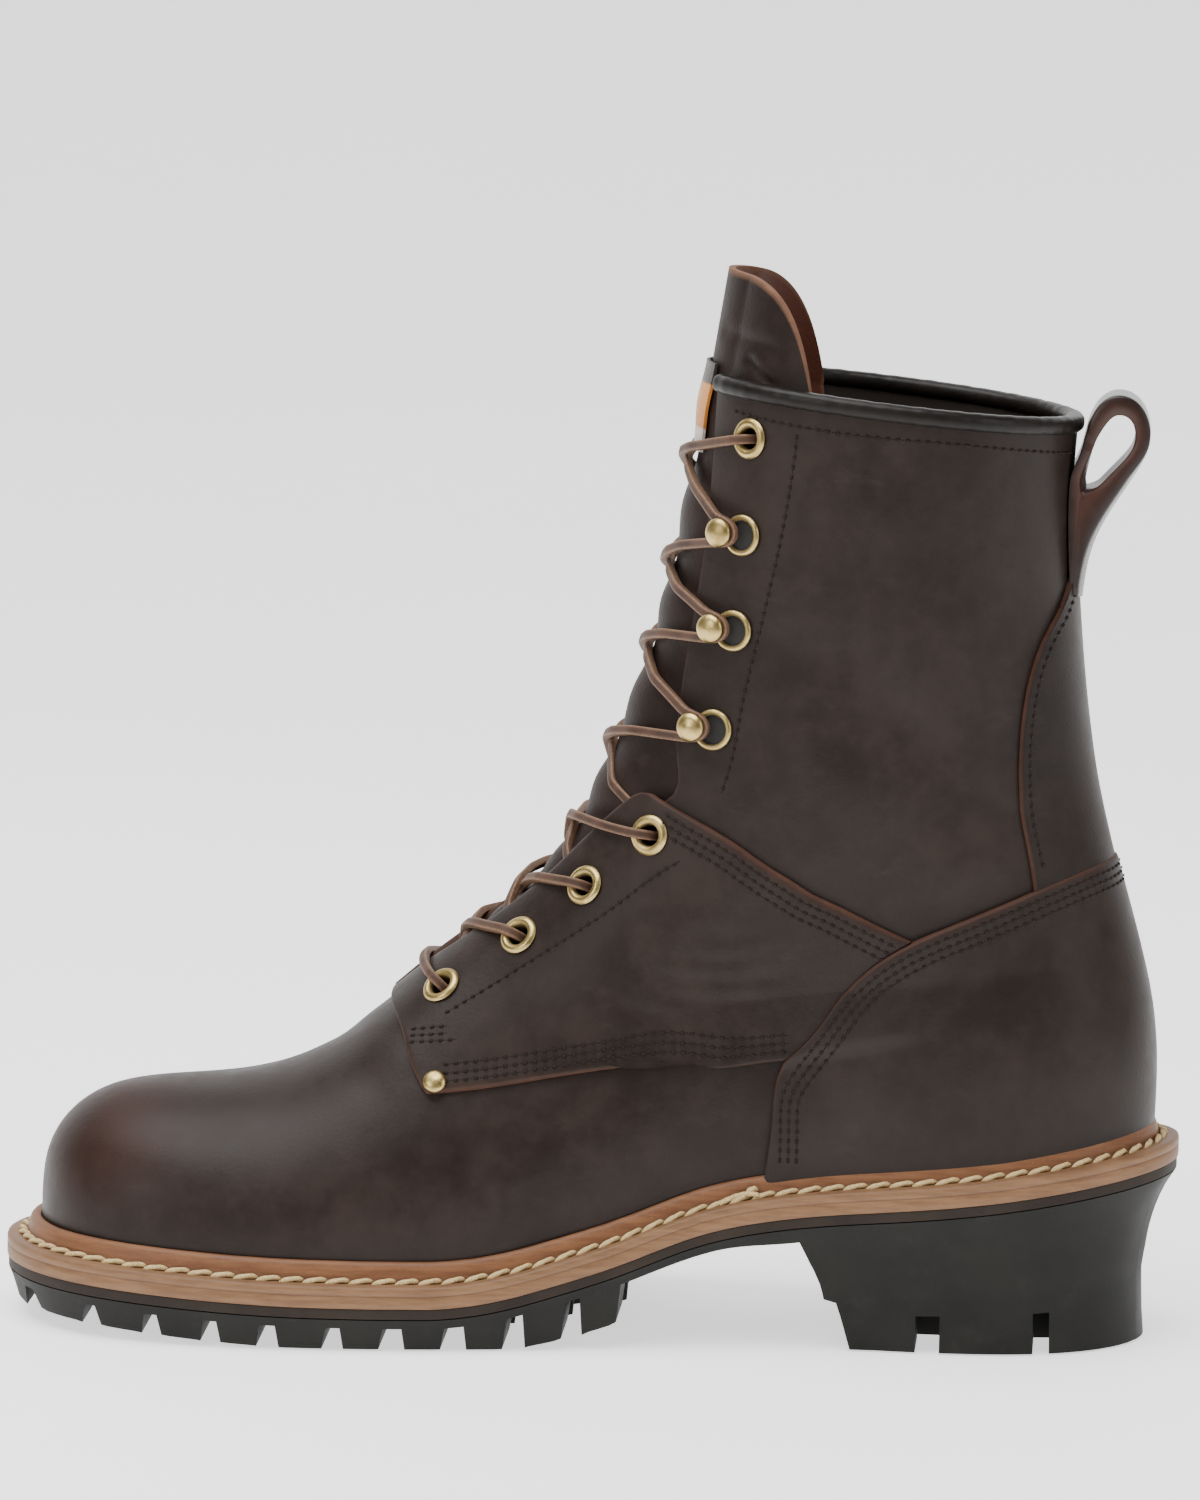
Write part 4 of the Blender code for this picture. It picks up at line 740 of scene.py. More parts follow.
def makeUpper():
    rows = np.concatenate([np.linspace(0.0, upper["throat"], upper["rowsBelow"]),
                           np.linspace(upper["throat"], 1.0, upper["rowsAbove"])[1:]])
    first = upper["insideColumns"]
    us = np.array([sideColumns(v) for v in rows])
    height = np.zeros(us.shape)
    raw = np.zeros(us.shape)
    openRows = rows >= upper["throat"] - 1e-9
    height[openRows, first] = -upper["edgeDrop"]
    raw[openRows, first] = 1.0
    raw[openRows, first + 1] = 0.25
    outer, inner = shellGrid(rows, us, [height, np.full(us.shape, -upper["thickness"])])
    columns = outer.shape[1]
    used = np.ones((len(rows) - 1, columns), bool)
    openFront = np.r_[0:first, columns - first:columns]
    used[np.ix_(openRows[:-1], openFront)] = False
    points, faces = closedSheet(outer, inner, True, used)
    rawEdge = np.concatenate([raw, raw[:, ::-1][:, 1:-1]], 1).ravel()
    lining = np.repeat([0.0, 1.0], rawEdge.size)
    marks = {"rawEdge": np.tile(rawEdge, 2), "lining": lining}
    return meshPiece("upper_leather", points, faces.tolist(), vampFinish, ["upper"], marks)


# Overlays: flat leather cut to four-sided patterns on the upper. Places are (share round from the front line,
# row); a share over 1 goes on round the heel on the outer side
overlays = {
    "rim": [0.0, 0.0004, 0.0010, 0.0022],
    "rimDrop": [0.00070, 0.00022, 0.00005, 0.0],
    # a row's length against a side's, rough lengths of a pattern's sides, and the space under it
    "rowScale": 1.6, "across": 0.13, "acrossBoth": 0.20, "tall": 0.07, "under": 0.00008,
    "rawGain": 1.6, "dullReach": 0.10,
    "lift": 0.0011, "liftRows": (0.285, 0.03), "liftShares": (0.70, 0.05),
    "quarter": {
        "thickness": 0.0021, "along": 74, "up": 56,
        "left": [
            (0.268, 0.438), (0.215, 0.465), (0.145, 0.490), (0.075, 0.4995), (0.007, 0.505), (0.022, 0.532),
            (0.048, 0.555), (0.085, 0.605), (0.120, 0.655), (0.155, 0.682), (0.193, 0.705), (0.212, 0.7125),
            (0.235, 0.7145),
        ],
        "top": [(0.235, 0.7145), (0.325, 0.703), (0.427, 0.672), (0.557, 0.580), (0.660, 0.480)],
        "right": [
            (0.595, 0.300), (0.602, 0.325), (0.612, 0.378), (0.622, 0.430), (0.642, 0.463), (0.660, 0.480),
        ],
        "bottom": [
            (0.268, 0.438), (0.312, 0.448), (0.375, 0.460), (0.438, 0.460), (0.510, 0.398),
            (0.565, 0.322), (0.595, 0.300),
        ],
        "leftCorners": [4],
    },
    "counter": {
        "thickness": 0.0023, "along": 150, "up": 46, "dull": 0.20,
        "left": [(0.602, 0.030), (0.597, 0.110), (0.593, 0.188), (0.588, 0.268), (0.588, 0.302)],
        "top": [
            (0.588, 0.302), (0.595, 0.322), (0.605, 0.375), (0.615, 0.427), (0.633, 0.458), (0.655, 0.475),
            (0.698, 0.492), (0.753, 0.508), (0.838, 0.527), (1.000, 0.540),
        ],
        "bottom": [(0.602, 0.030), (0.700, 0.030), (0.850, 0.030), (1.000, 0.030)],
    },
    "backstay": {
        "thickness": 0.0016, "along": 60, "up": 60,
        "left": [
            (0.796, 0.500), (0.793, 0.560), (0.785, 0.615), (0.780, 0.703), (0.790, 0.745), (0.815, 0.775),
            (0.888, 0.812),
        ],
        "top": [(0.888, 0.812), (0.940, 0.838), (1.000, 0.846)],
        "bottom": [(0.796, 0.500), (0.870, 0.510), (1.000, 0.515)],
    },
}


def wrapped(places):
    # Shares and rows as points' own shares and sides, past the heel too
    w = places[..., 0]
    return np.where(w > 1.0, 2.0 - w, w), places[..., 1], np.where(w > 1.0, 1.0, -1.0)


def edgeLine(places, corners, shares):
    # A pattern's edge at shares of its length, smooth between its corners
    places = np.asarray(places, float)
    whole = runAlong(places * np.array([1.0, overlays["rowScale"]]))
    cuts = [0] + list(corners) + [len(places) - 1]
    result = np.zeros((len(shares), 2))
    wanted = np.asarray(shares) * whole[-1]
    for start, end in zip(cuts, cuts[1:]):
        piece = slice(start, end + 1)
        inside = (wanted >= whole[start] - 1e-12) & (wanted <= whole[end] + 1e-12)
        for i in range(2):
            line = curveThrough(whole[piece], places[piece, i])
            result[inside, i] = line(wanted[inside])
    return result


def rimShares(length, count):
    # Shares along a pattern's side, with close ones at both rims
    rim = [d / length for d in overlays["rim"]]
    inside = np.linspace(rim[-1], 1.0 - rim[-1], count)[1:-1]
    return np.array(rim + list(inside) + [1.0 - d for d in reversed(rim)])


def patternGrid(pattern, mirrored):
    left = pattern["left"]
    top = pattern["top"]
    bottom = pattern["bottom"]
    if mirrored:
        top = top + [(2.0 - w, v) for w, v in reversed(top[:-1])]
        bottom = bottom + [(2.0 - w, v) for w, v in reversed(bottom[:-1])]
        right = [(2.0 - w, v) for w, v in left]
    else:
        right = pattern["right"]
    s = rimShares(overlays["acrossBoth" if mirrored else "across"], pattern["along"])
    t = rimShares(overlays["tall"], pattern["up"])
    low = edgeLine(bottom, [], s)[None, :, :]
    high = edgeLine(top, [], s)[None, :, :]
    near = edgeLine(left, pattern.get("leftCorners", []), t)[:, None, :]
    far = edgeLine(right, [], t)[:, None, :]
    ss = s[None, :, None]
    tt = t[:, None, None]
    mixed = (1 - tt) * low + tt * high + (1 - ss) * near + ss * far
    mixed -= (1 - ss) * (1 - tt) * low[:, :1] + ss * (1 - tt) * low[:, -1:]
    mixed -= (1 - ss) * tt * high[:, :1] + ss * tt * high[:, -1:]
    drop = overlays["rimDrop"]
    fall = [np.zeros(len(s)), np.zeros(len(t))]
    for line in fall:
        line[:len(drop)] = drop
        line[len(line) - len(drop):] = drop[::-1]
    down = np.maximum(fall[0][None, :], fall[1][:, None])
    return mixed, down


def makeOverlay(name, pattern, finish, replaced, mirrored=False, side=None, lift=None):
    grid, down = patternGrid(pattern, mirrored)
    u, v, sides = wrapped(grid)
    if side is not None:
        sides = np.full(u.shape, side)
    height = pattern["thickness"] + (lift(u, v) if lift else 0.0)
    p = surface(u, v, sides)
    n = across(u, v, sides)
    relief = reliefAt(p, sides)
    outer = p + n * (height - down + relief)[..., None]
    inner = p + n * (overlays["under"] + relief)[..., None]
    points, faces = closedSheet(outer, inner)
    raw = np.clip(down / overlays["rimDrop"][0] * overlays["rawGain"], 0.0, 1.0)
    raw *= smooth((v - pattern.get("dull", -1.0)) / overlays["dullReach"])
    marks = {"rawEdge": np.concatenate([raw.ravel(), np.ones(raw.size)])}
    return meshPiece(name, points, faces.tolist(), finish, replaced, marks, 50.0)


def counterLift(u, v):
    # The counter rides up where it laps over the quarter
    (row, rows), (share, shares) = overlays["liftRows"], overlays["liftShares"]
    return overlays["lift"] * smooth((v - row) / rows) * smooth((share - u) / shares)


# Brass: eyelets and hooks as (share round the side, row)
hardware = {
    "eyelets": [(0.140, 0.530), (0.175, 0.588), (0.203, 0.640), (0.263, 0.688), (0.247, 0.968)],
    "hooks": [(0.292, 0.765), (0.278, 0.830), (0.260, 0.895)],
    "rivet": (0.265, 0.450), "quarterTop": 0.0021, "onQuarter": 4,
    "hole": 0.0028, "tube": 0.0034, "flange": 0.0053, "holeCut": 0.0036,
    "hookShift": 0.0042, "hookNeck": 0.0014, "hookHead": 0.0038, "hookRise": 0.0040,
    "forward": 0.02, "punchReach": 0.006, "punchSides": 28,
    # named radius and what is added to it, share of the seat's top, height, darkness of the painted shade
    # inside
    "eyeletRings": [
        ("hole", 0.0, 0, -0.0036, 1), ("tube", 0.0, 0, -0.0036, 1), ("tube", 0.0, 1, 0.0, 0.8),
        ("flange", -0.0002, 1, 0.00005, 0.5), ("flange", 0.0, 1, 0.00030, 0.12),
        ("flange", -0.0003, 1, 0.00075, 0), ("flange", -0.0009, 1, 0.00108, 0),
        ("flange", -0.0015, 1, 0.00115, 0), ("hole", 0.0004, 1, 0.00085, 0.25),
        ("hole", 0.00008, 1, 0.00030, 0.6), ("hole", 0.0, 1, -0.0006, 0.9),
    ],
    # shares of the neck's and head's radius, radius, share of the rise, height, share of the shift, darkness
    # of the painted shade at the foot, the neck and under the head
    "hookRings": [
        (0, 0, 5.0e-3, 0, 5.0e-5, 0, 0.6), (0, 0, 5.4e-3, 0, 3e-4, 0, 0.2), (0, 0, 5.4e-3, 0, 7e-4, 0, 0),
        (0, 0, 5.0e-3, 0, 1.1e-3, 0, 0), (0, 0, 4.4e-3, 0, 1.2e-3, 0, 0.1), (0, 0, 4.0e-3, 0, 9e-4, 0, 0.6),
        (0, 0, 3.8e-3, 0, 4e-4, 0, 1), (1, 0, 5e-4, 0, 3.5e-4, 0.55, 1), (1, 0, 1e-4, 0, 9e-4, 0.72, 0.9),
        (1, 0, 0, 0, 2.2e-3, 0.85, 0.8), (1, 0, 0, 1, 0, 0.95, 0.7), (0, 0.65, 0, 1, 3e-4, 1, 0.5),
        (0, 0.92, 0, 1, 6e-4, 1, 0.2), (0, 1, 0, 1, 1.0e-3, 1, 0), (0, 1, 0, 1, 1.5e-3, 1, 0),
        (0, 0.90, 0, 1, 2.1e-3, 1, 0), (0, 0.65, 0, 1, 2.6e-3, 1, 0), (0, 0.32, 0, 1, 2.9e-3, 1, 0),
        (0, 0, 3e-4, 1, 3.0e-3, 1, 0),
    ],
    # foot, foot's height, radius, rim's height, dome's base, dome's height, turn a ring
    "rivetDome": (0.0029, 0.0001, 0.0031, 0.0004, 0.0005, 0.0014, 0.24),
}


def seatOf(u, v, side, height=0.0):
    axis = across(u, v, side)
    centre = leatherPoint(np.array(u), np.array(v), side, np.array(height))
    forward = surface(u - hardware["forward"], v, side) - surface(u, v, side)
    return centre, axis, unit(forward - axis * np.dot(forward, axis))


def turnedPiece(name, rings, seat, sides, closed, replaced, hollow=None, angle=50.0):
    # A lathe piece: rings of radius, height and shift forward
    centre, axis, forward = seat
    aside = np.cross(axis, forward)
    turn = around(sides)
    wheel = np.cos(turn)[:, None] * forward + np.sin(turn)[:, None] * aside
    rows = np.array([centre + axis * h + forward * shift + wheel * r for r, h, shift in rings])
    points, faces = ringLoft(rows, closed)
    if closed:
        faces = [list(f) for f in faces]
    # Painted shade per ring: how dark the brass is painted in its holes and under its head
    dark = np.repeat(hollow if hollow is not None else np.zeros(len(rings)), sides)
    return meshPiece(name, points, faces, brassFinish, replaced, {"hollow": dark}, angle)


def makeEyelet(name, u, v, side, top):
    table = hardware["eyeletRings"]
    rings = [(hardware[radius] + add, top * onTop + height, 0.0) for radius, add, onTop, height, _ in table]
    hollow = np.array(column(table, 4), float)
    turnedPiece(name, rings, seatOf(u, v, side), 40, True, [name.replace("_ring", "")], hollow)


def makeHook(name, u, v, side):
    neck, head, rise, shift = [hardware[key] for key in ("hookNeck", "hookHead", "hookRise", "hookShift")]
    table = hardware["hookRings"]
    rings = [(neck * a + head * b + plain, rise * c + height, shift * d)
             for a, b, plain, c, height, d, _ in table]
    hollow = np.array(column(table, 6), float)
    turnedPiece(name, rings, seatOf(u, v, side), 36, False, [name.replace("_brass", "")], hollow, 55.0)


def makeRivet(name, side):
    u, v = hardware["rivet"]
    foot, low, radius, rim, base, tall, turn = hardware["rivetDome"]
    rings = [(foot, low, 0.0), (radius, rim, 0.0)]
    rings += [(radius * math.cos(k * turn), base + tall * math.sin(k * turn), 0.0) for k in range(1, 7)]
    seat = seatOf(u, v, side, hardware["quarterTop"])
    turnedPiece(name, rings, seat, 32, False, [name.replace("_head", "")])


def cutHoles(piece, places):
    # Round holes through the leather under the eyelets
    sides = hardware["punchSides"]
    turn = around(sides)
    rows = []
    faces = []
    for u, v, side in places:
        centre, axis, forward = seatOf(u, v, side)
        aside = np.cross(axis, forward)
        wheel = (np.cos(turn)[:, None] * forward + np.sin(turn)[:, None] * aside) * hardware["holeCut"]
        reach = axis * hardware["punchReach"]
        tube, walls = ringLoft(np.array([centre - reach + wheel, centre + reach + wheel]), False)
        faces += [[k + sides * len(rows) for k in wall] for wall in walls]
        rows += [tube[:sides], tube[sides:]]
    mesh = bpy.data.meshes.new("punch")
    mesh.from_pydata(np.concatenate(rows).tolist(), [], faces)
    punch = addToScene("punch", mesh)
    step = piece.modifiers.new("holes", "BOOLEAN")
    step.operation = "DIFFERENCE"
    step.solver = "EXACT"
    step.object = punch
    ready = piece.evaluated_get(bpy.context.evaluated_depsgraph_get())
    cut = bpy.data.meshes.new_from_object(ready)
    piece.modifiers.remove(step)
    piece.data = cut
    bpy.data.objects.remove(punch)


# Stitching: rows as (share round the side, row), mostly a pattern's edge, and the distances they keep from it
quarterEdges = overlays["quarter"]
counterTop = overlays["counter"]["top"]
stayLeft = overlays["backstay"]["left"]
stitching = {
    "pitch": 0.0026, "length": 0.0017, "radius": 0.00042, "rise": 0.00016, "sink": -0.00022,
    # the last sizes shape the near-black pieces painted as shade in the stitch holes
    "holeShadeSize": 1.1, "holeShadeRise": -0.00036, "holeShadeSink": -0.00040, "bowPower": 0.7, "thinnest": 0.55,
    "onQuarter": [
        ([(0.190, 0.512), (0.215, 0.550), (0.242, 0.593), (0.273, 0.635), (0.302, 0.662), (0.330, 0.677)],
         [0.0]),
        ([(0.283, 0.4415), *quarterEdges["bottom"][1:6], (0.597, 0.299)], [0.0024, 0.0046, 0.0068]),
        ([(0.275, 0.711), *quarterEdges["top"][1:4], (0.655, 0.484)], [-0.0026, -0.0049, -0.0072]),
        ([(0.168, 0.491), (0.219, 0.506)], [0.0, -0.0020, -0.0040]),
    ],
    "onUpper": [
        ([(0.342, 0.978), (0.331, 0.910), (0.322, 0.840), (0.323, 0.787), (0.338, 0.740), (0.340, 0.722)],
         [0.0]),
        ([(0.198, 0.987), (0.348, 0.984), (0.520, 0.980), (0.700, 0.975), (0.888, 0.972), (0.965, 0.971)],
         [0.0]),
    ],
    "onStay": [([(0.796, 0.550), *stayLeft[2:], overlays["backstay"]["top"][1]], [-0.0026])],
    "onCounter": [
        ([(0.600, 0.105), (0.593, 0.188), (0.589, 0.258), (0.600, 0.350), *counterTop[3:]],
         [-0.0024, -0.0046, -0.0068]),
    ],
}


def beside(places, distance, side):
    # A line moved over the leather, to its left as seen from outside
    uv = alongLine(places, 120)
    step = 0.0005
    for _ in range(2 if distance else 0):
        u = uv[:, 0]
        v = uv[:, 1]
        high = np.minimum(u + step, 1.0)
        along = (surface(high, v, side) - surface(u - step, v, side)) / (high - u + step)[:, None]
        upward = (surface(u, v + step, side) - surface(u, v - step, side)) / (2.0 * step)
        run = unit(np.gradient(surface(u, v, side), axis=0))
        move = np.cross(across(u, v, side), run) * (-side * distance / 2.0)
        aa = np.sum(along * along, 1)
        ab = np.sum(along * upward, 1)
        bb = np.sum(upward * upward, 1)
        am = np.sum(along * move, 1)
        bm = np.sum(upward * move, 1)
        det = aa * bb - ab * ab
        uv = uv + np.stack([(bb * am - ab * bm) / det, (aa * bm - ab * am) / det], -1)
        uv[:, 0] = np.minimum(uv[:, 0], 1.0)
    return uv


def stitchMesh(starts, ends, outs, radius, rise, sink, rings=4, sides=5):
    # Short threads from start to end, bowed out from the leather
    along = ends - starts
    aside = unit(np.cross(outs, along))
    t = np.linspace(0.0, 1.0, rings)
    bow = sink + (rise - sink) * np.sin(np.pi * t) ** stitching["bowPower"]
    thin = stitching["thinnest"] + (1.0 - stitching["thinnest"]) * np.sin(np.pi * t) ** 0.5
    centre = starts[:, None] + along[:, None] * t[None, :, None] + outs[:, None] * bow[None, :, None]
    turn = around(sides)
    wheel = (np.cos(turn)[None, None, :, None] * outs[:, None, None]
             + np.sin(turn)[None, None, :, None] * aside[:, None, None])
    points = centre[:, :, None] + wheel * (radius * thin)[None, :, None, None]
    number, size = len(starts), rings * sides
    faces = []
    single = []
    for r in range(rings - 1):
        for k in range(sides):
            n = (k + 1) % sides
            single.append([r * sides + k, r * sides + n, (r + 1) * sides + n, (r + 1) * sides + k])
    caps = [list(reversed(range(sides))), [size - sides + k for k in range(sides)]]
    for i in range(number):
        faces += [[i * size + k for k in f] for f in single]
        faces += [[i * size + k for k in f] for f in caps]
    return points.reshape(-1, 3), faces


def makeStitches(name, rows, height):
    # Dark thread along rows, and between the threads near-black sunk pieces: painted shade in the holes it
    # goes down through
    s = stitching
    parts = {"thread": [0.0, s["length"]], "hole": [s["length"], s["pitch"]]}
    tables = {"thread": [[], [], []], "hole": [[], [], []]}
    for places, distances in rows:
        for distance, side in [(distance, side) for distance in distances for side in bothSides]:
            u, v = beside(places, distance, side).T
            line = leatherPoint(u, v, side, height(u, v))
            normal = across(u, v, side)
            run = runAlong(line)
            first = np.arange(0.0, run[-1] - s["pitch"], s["pitch"])
            for part, (begin, end) in parts.items():
                starts, ends, outs = tables[part]
                starts.append(readAt(first + begin, run, line))
                ends.append(readAt(first + end, run, line))
                outs.append(unit(readAt(first + begin, run, normal)))
    points, faces = stitchMesh(*map(np.concatenate, tables["thread"]), s["radius"], s["rise"], s["sink"])
    meshPiece(name, points, faces, darkThread, angle=180.0)
    # Painted shade of the stitch holes: near-black pieces sunk just under the leather between the threads
    points, faces = stitchMesh(*map(np.concatenate, tables["hole"]), s["radius"] * s["holeShadeSize"],
                               s["holeShadeRise"], s["holeShadeSink"], 4, 6)
    meshPiece(f"{name}_holes", points, faces, holeShadeFinish, angle=180.0)


def heightOf(name):
    return lambda u, v: overlays[name]["thickness"] + 0.0 * u


upperPiece = makeUpper()
print("upper made")
quarterPieces = {}
for word, side in sideWords:
    quarterPieces[word] = makeOverlay(f"quarter_{word}_leather", overlays["quarter"], quarterFinish,
                                      [f"quarter_{word}"], side=side)
makeOverlay("counter_leather_piece", overlays["counter"], counterFinish, ["counter"], True,
            lift=counterLift)
makeOverlay("backstay_leather_piece", overlays["backstay"], stayFinish, ["backstay"],
            True)
print("overlays made")

cutHoles(upperPiece, [(u, v, side) for u, v in hardware["eyelets"] for side in bothSides])
for word, side in sideWords:
    cutHoles(quarterPieces[word], [(u, v, side) for u, v in hardware["eyelets"][:hardware["onQuarter"]]])
    for k, (u, v) in enumerate(hardware["eyelets"]):
        top = hardware["quarterTop"] if k < hardware["onQuarter"] else 0.0
        makeEyelet(f"eyelet_{word}_{k + 1}_ring", u, v, side, top)
    for k, (u, v) in enumerate(hardware["hooks"]):
        makeHook(f"hook_{word}_{k + 1}_brass", u, v, side)
    makeRivet(f"rivet_{word}_head", side)
print("brass made")

makeStitches("quarter_stitches", stitching["onQuarter"], heightOf("quarter"))
makeStitches("shaft_stitches", stitching["onUpper"], lambda u, v: 0.0 * u)
makeStitches("backstay_stitches", stitching["onStay"], heightOf("backstay"))
makeStitches("counter_stitches", stitching["onCounter"],
             lambda u, v: overlays["counter"]["thickness"] + counterLift(u, v))
print("stitches made")


# Tongue: crowned between the facings, pressed in under each lace, standing above the collar
laces = {
    "rows": [0.537, 0.570, 0.615, 0.672, 0.730, 0.797, 0.855, 0.938],
    "width": 0.0025, "thick": 0.0021, "press": -0.0011, "swell": 0.0016,
    "step": 0.0008, "soften": 1.7, "softReach": 6,
    # half a section, as shares of half the width and half the thickness, with how much cut side shows
    "section": [
        (-1, -0.5, 0.4), (-0.95, -0.8, 0.9), (-0.75, -0.97, 0.5), (-0.35, -1, 0), (0.35, -1, 0),
        (0.75, -0.97, 0.5), (0.95, -0.8, 0.9), (1, -0.5, 0.4),
    ],
    "level": 0.9, "resting": 0.0003, "topResting": 0.0012, "barRise": 0.0011, "under": 0.702,
    "crossing": 0.004, "edgeShare": 0.95, "edgeLift": 0.0001,
    # over an eyelet: shares of the rim out from its middle, heights, and whether half a lace is added
    "overRim": [
        (0.25, -0.0052, 0), (0.10, -0.0024, 0), (-0.18, 0.0003, 0), (-0.62, 0.0012, 1), (-1.05, 0.0006, 1),
    ],
    # in under the facing: share of its edge, share past it, rows down, share of the ridge, height
    "underEdge": [
        (0.5, 0.0, 0.006, 0.5, -0.0006), (0.95, 0.0, -0.004, 0, -0.0016), (1.35, 0.02, -0.014, 0, -0.0038),
    ],
    # round a hook: forward, then shares of the reach forward and up
    "aroundHook": [
        (0.0035, 0, -1.15), (0, 0, -1), (0, -0.7, -0.7), (0, -1, 0), (0, -0.7, 0.7), (0, 0, 1),
        (0.0035, 0, 1.15),
    ],
    "neckShare": 0.88, "neckHeight": 0.0026, "neckGap": 0.0001, "tautShares": (0.80, 0.55),
}
tongue = {
    "leather": 0.0017, "gap": 0.0006, "crown": 0.0024, "rise": 0.0292, "laps": 0.085, "topLaps": 0.146,
    "rows": 110, "tipRows": 34, "columns": 40, "startRow": 0.43, "tipPower": 4.4, "tipStart": 0.004,
    "lean": 0.030, "widen": (0.80, 0.20), "openIn": 0.08, "leastEdge": 0.02, "lastRow": 1.06,
    "fullReach": 0.06, "leastReach": 0.3, "flatFrom": 0.97, "flatIn": 0.05,
    # worn-in folds on the tip: start, end, depth, width, all in millimetres over the leather like the scale
    "foldScale": (110.0, 330.0),
    "folds": [((20.5, 10.0), (28.5, 4.5), -0.0008, 1.3), ((9.0, 16.0), (27.0, 14.5), -0.0005, 2.2)],
}


def tongueOffset(u, v):
    g = tongue
    edge = np.maximum(facingEdge(np.minimum(v, 1.0)), g["leastEdge"])
    between = np.clip(1.0 - (u / edge) ** 2, 0.0, 1.0)
    opening = smooth((v - upper["throat"]) / g["openIn"])
    rows = np.array(laces["rows"] + [g["lastRow"]])
    i = np.clip(np.searchsorted(rows, v) - 1, 0, len(rows) - 2)
    t = np.clip((v - rows[i]) / (rows[i + 1] - rows[i]), 0.0, 1.0)
    reach = np.clip((rows[i + 1] - rows[i]) / g["fullReach"], g["leastReach"], 1.0)
    wave = laces["press"] * 0.5 + laces["swell"] * reach * np.sin(np.pi * t) ** 2
    wave = np.where(v < rows[0], laces["press"] * 0.5, wave)
    wave *= 1.0 - smooth((v - g["flatFrom"]) / g["flatIn"])
    return (g["crown"] + wave) * between * opening - upper["thickness"] - g["gap"]


def tongueFold(u, v):
    x = u * tongue["foldScale"][0]
    z = (v - 1.0) * tongue["foldScale"][1]
    total = np.zeros(u.shape)
    for start, end, depth, width in tongue["folds"]:
        away = shareAlong(x, z, start, end)[1]
        total += depth * np.exp(-away / (width * width))
    return total


def tongueGrid(depths):
    g = tongue
    slope = float(frontZ(1.0) - frontZ(1.0 - last["lastRows"])) / last["lastRows"]
    rows = np.linspace(g["startRow"], 1.0, g["rows"])
    start, length = g["widen"]
    widest = facingEdge(rows) + g["laps"] + g["topLaps"] * smooth((rows - start) / length)
    shares = np.linspace(0.0, 1.0, g["columns"])
    top = widest[-1] * shares
    reach = 1.0 - shares ** g["tipPower"]
    up = np.arange(1, g["tipRows"] + 1)[:, None] / g["tipRows"]
    tip = 1.0 + (g["tipStart"] + reach * g["rise"] / slope) * up
    v = np.concatenate([np.repeat(rows[:, None], len(shares), 1), tip])
    u = np.concatenate([widest[:, None] * shares, np.repeat(top[None], g["tipRows"], 0)])
    lean = g["lean"] * np.maximum(v - 1.0, 0.0) * (u / top[-1]) ** 2
    skins = []
    for depth in depths:
        offset = tongueOffset(u, v) + tongueFold(u, v) - depth - lean
        near, far = [surface(u, v, side) + across(u, np.minimum(v, 1.0), side) * offset[..., None]
                     for side in bothSides]
        skins.append(np.concatenate([near[:, ::-1], far[:, 1:]], 1))
    return skins


def makeTongue():
    outer, inner = tongueGrid([0.0, tongue["leather"]])
    points, faces = closedSheet(outer, inner)
    raw = np.zeros(outer.shape[:2])
    raw[-1] = 1.0
    raw[-2] = 0.5
    raw[:, 0] = 1.0
    raw[:, -1] = 1.0
    lining = np.concatenate([np.zeros(raw.size), np.ones(raw.size)])
    marks = {"rawEdge": np.concatenate([raw.ravel(), raw.ravel()]), "lining": lining}
    meshPiece("tongue_leather_piece", points, faces.tolist(), tongueFinish, ["tongue"],
              marks, 50.0)


makeTongue()
print("tongue made")


# Label: a plain woven tab on the tongue, in three bands
label = {
    "low": 0.944, "high": 1.020, "half": 0.085, "thick": 0.0008, "gap": 0.0007, "columns": 14, "rows": 26,
}


def makeLabel():
    u = np.linspace(0.0, label["half"], label["columns"])
    rows = np.linspace(label["low"], label["high"], label["rows"])
    skins = []
    for depth in (label["thick"], 0.0):
        grid = []
        for v in rows:
            offset = tongueOffset(u, np.full(len(u), v)) + label["gap"] + depth
            near, far = [surface(u, v, s) + across(u, min(v, 1.0), s) * offset[:, None] for s in bothSides]
            grid.append(np.concatenate([near[::-1], far[1:]]))
        skins.append(np.array(grid))
    points, faces = closedSheet(skins[0], skins[1])
    band = np.repeat((rows - rows[0]) / (rows[-1] - rows[0]), 2 * len(u) - 1)
    marks = {"band": np.concatenate([band, band])}
    meshPiece("label_tab", points, faces.tolist(), labelFinish, ["tongue_label"], marks)


makeLabel()


# Collar: a soft rolled binding
collar = {
    "tall": 0.0024, "wide": 0.0026, "inward": 0.0009, "columns": 150, "sides": 20, "past": 0.004, "high": 0.7,
    "squareness": 0.8, "unevenness": 0.03, "ends": (0.45, 0.85),
}


def makeCollar():
    c = collar
    u = np.linspace(float(facingEdge(1.0)), 1.0, c["columns"])
    u = np.concatenate([[u[0] - c["past"]], u])
    u = np.concatenate([u, u[::-1][1:]])
    side = np.where(np.arange(len(u)) < c["columns"] + 1, innerSide, outerSide)
    p = surface(u, 1.0, side)
    out = unit(across(u, 1.0, side) * np.array([1.0, 1.0, 0.0]))
    size = 1.0 + c["unevenness"] * np.sin(np.arange(len(u)) * 0.9) * np.sin(np.arange(len(u)) * 0.23)
    size[[0, -1]], size[[1, -2]] = c["ends"]
    middle = p - out * c["inward"] + straightUp * (c["tall"] * c["high"])
    turn = around(c["sides"])
    wide, tall = [np.sign(line) * np.abs(line) ** c["squareness"] * half * size[:, None]
                  for line, half in ((np.cos(turn), c["wide"]), (np.sin(turn), c["tall"]))]
    rings = middle[:, None] + wide[..., None] * out[:, None] + tall[..., None] * straightUp
    points, faces = ringLoft(rings, False)
    meshPiece("collar_roll", points, faces, collarFinish, ["collar_binding"], angle=70.0)


makeCollar()
print("collar made")


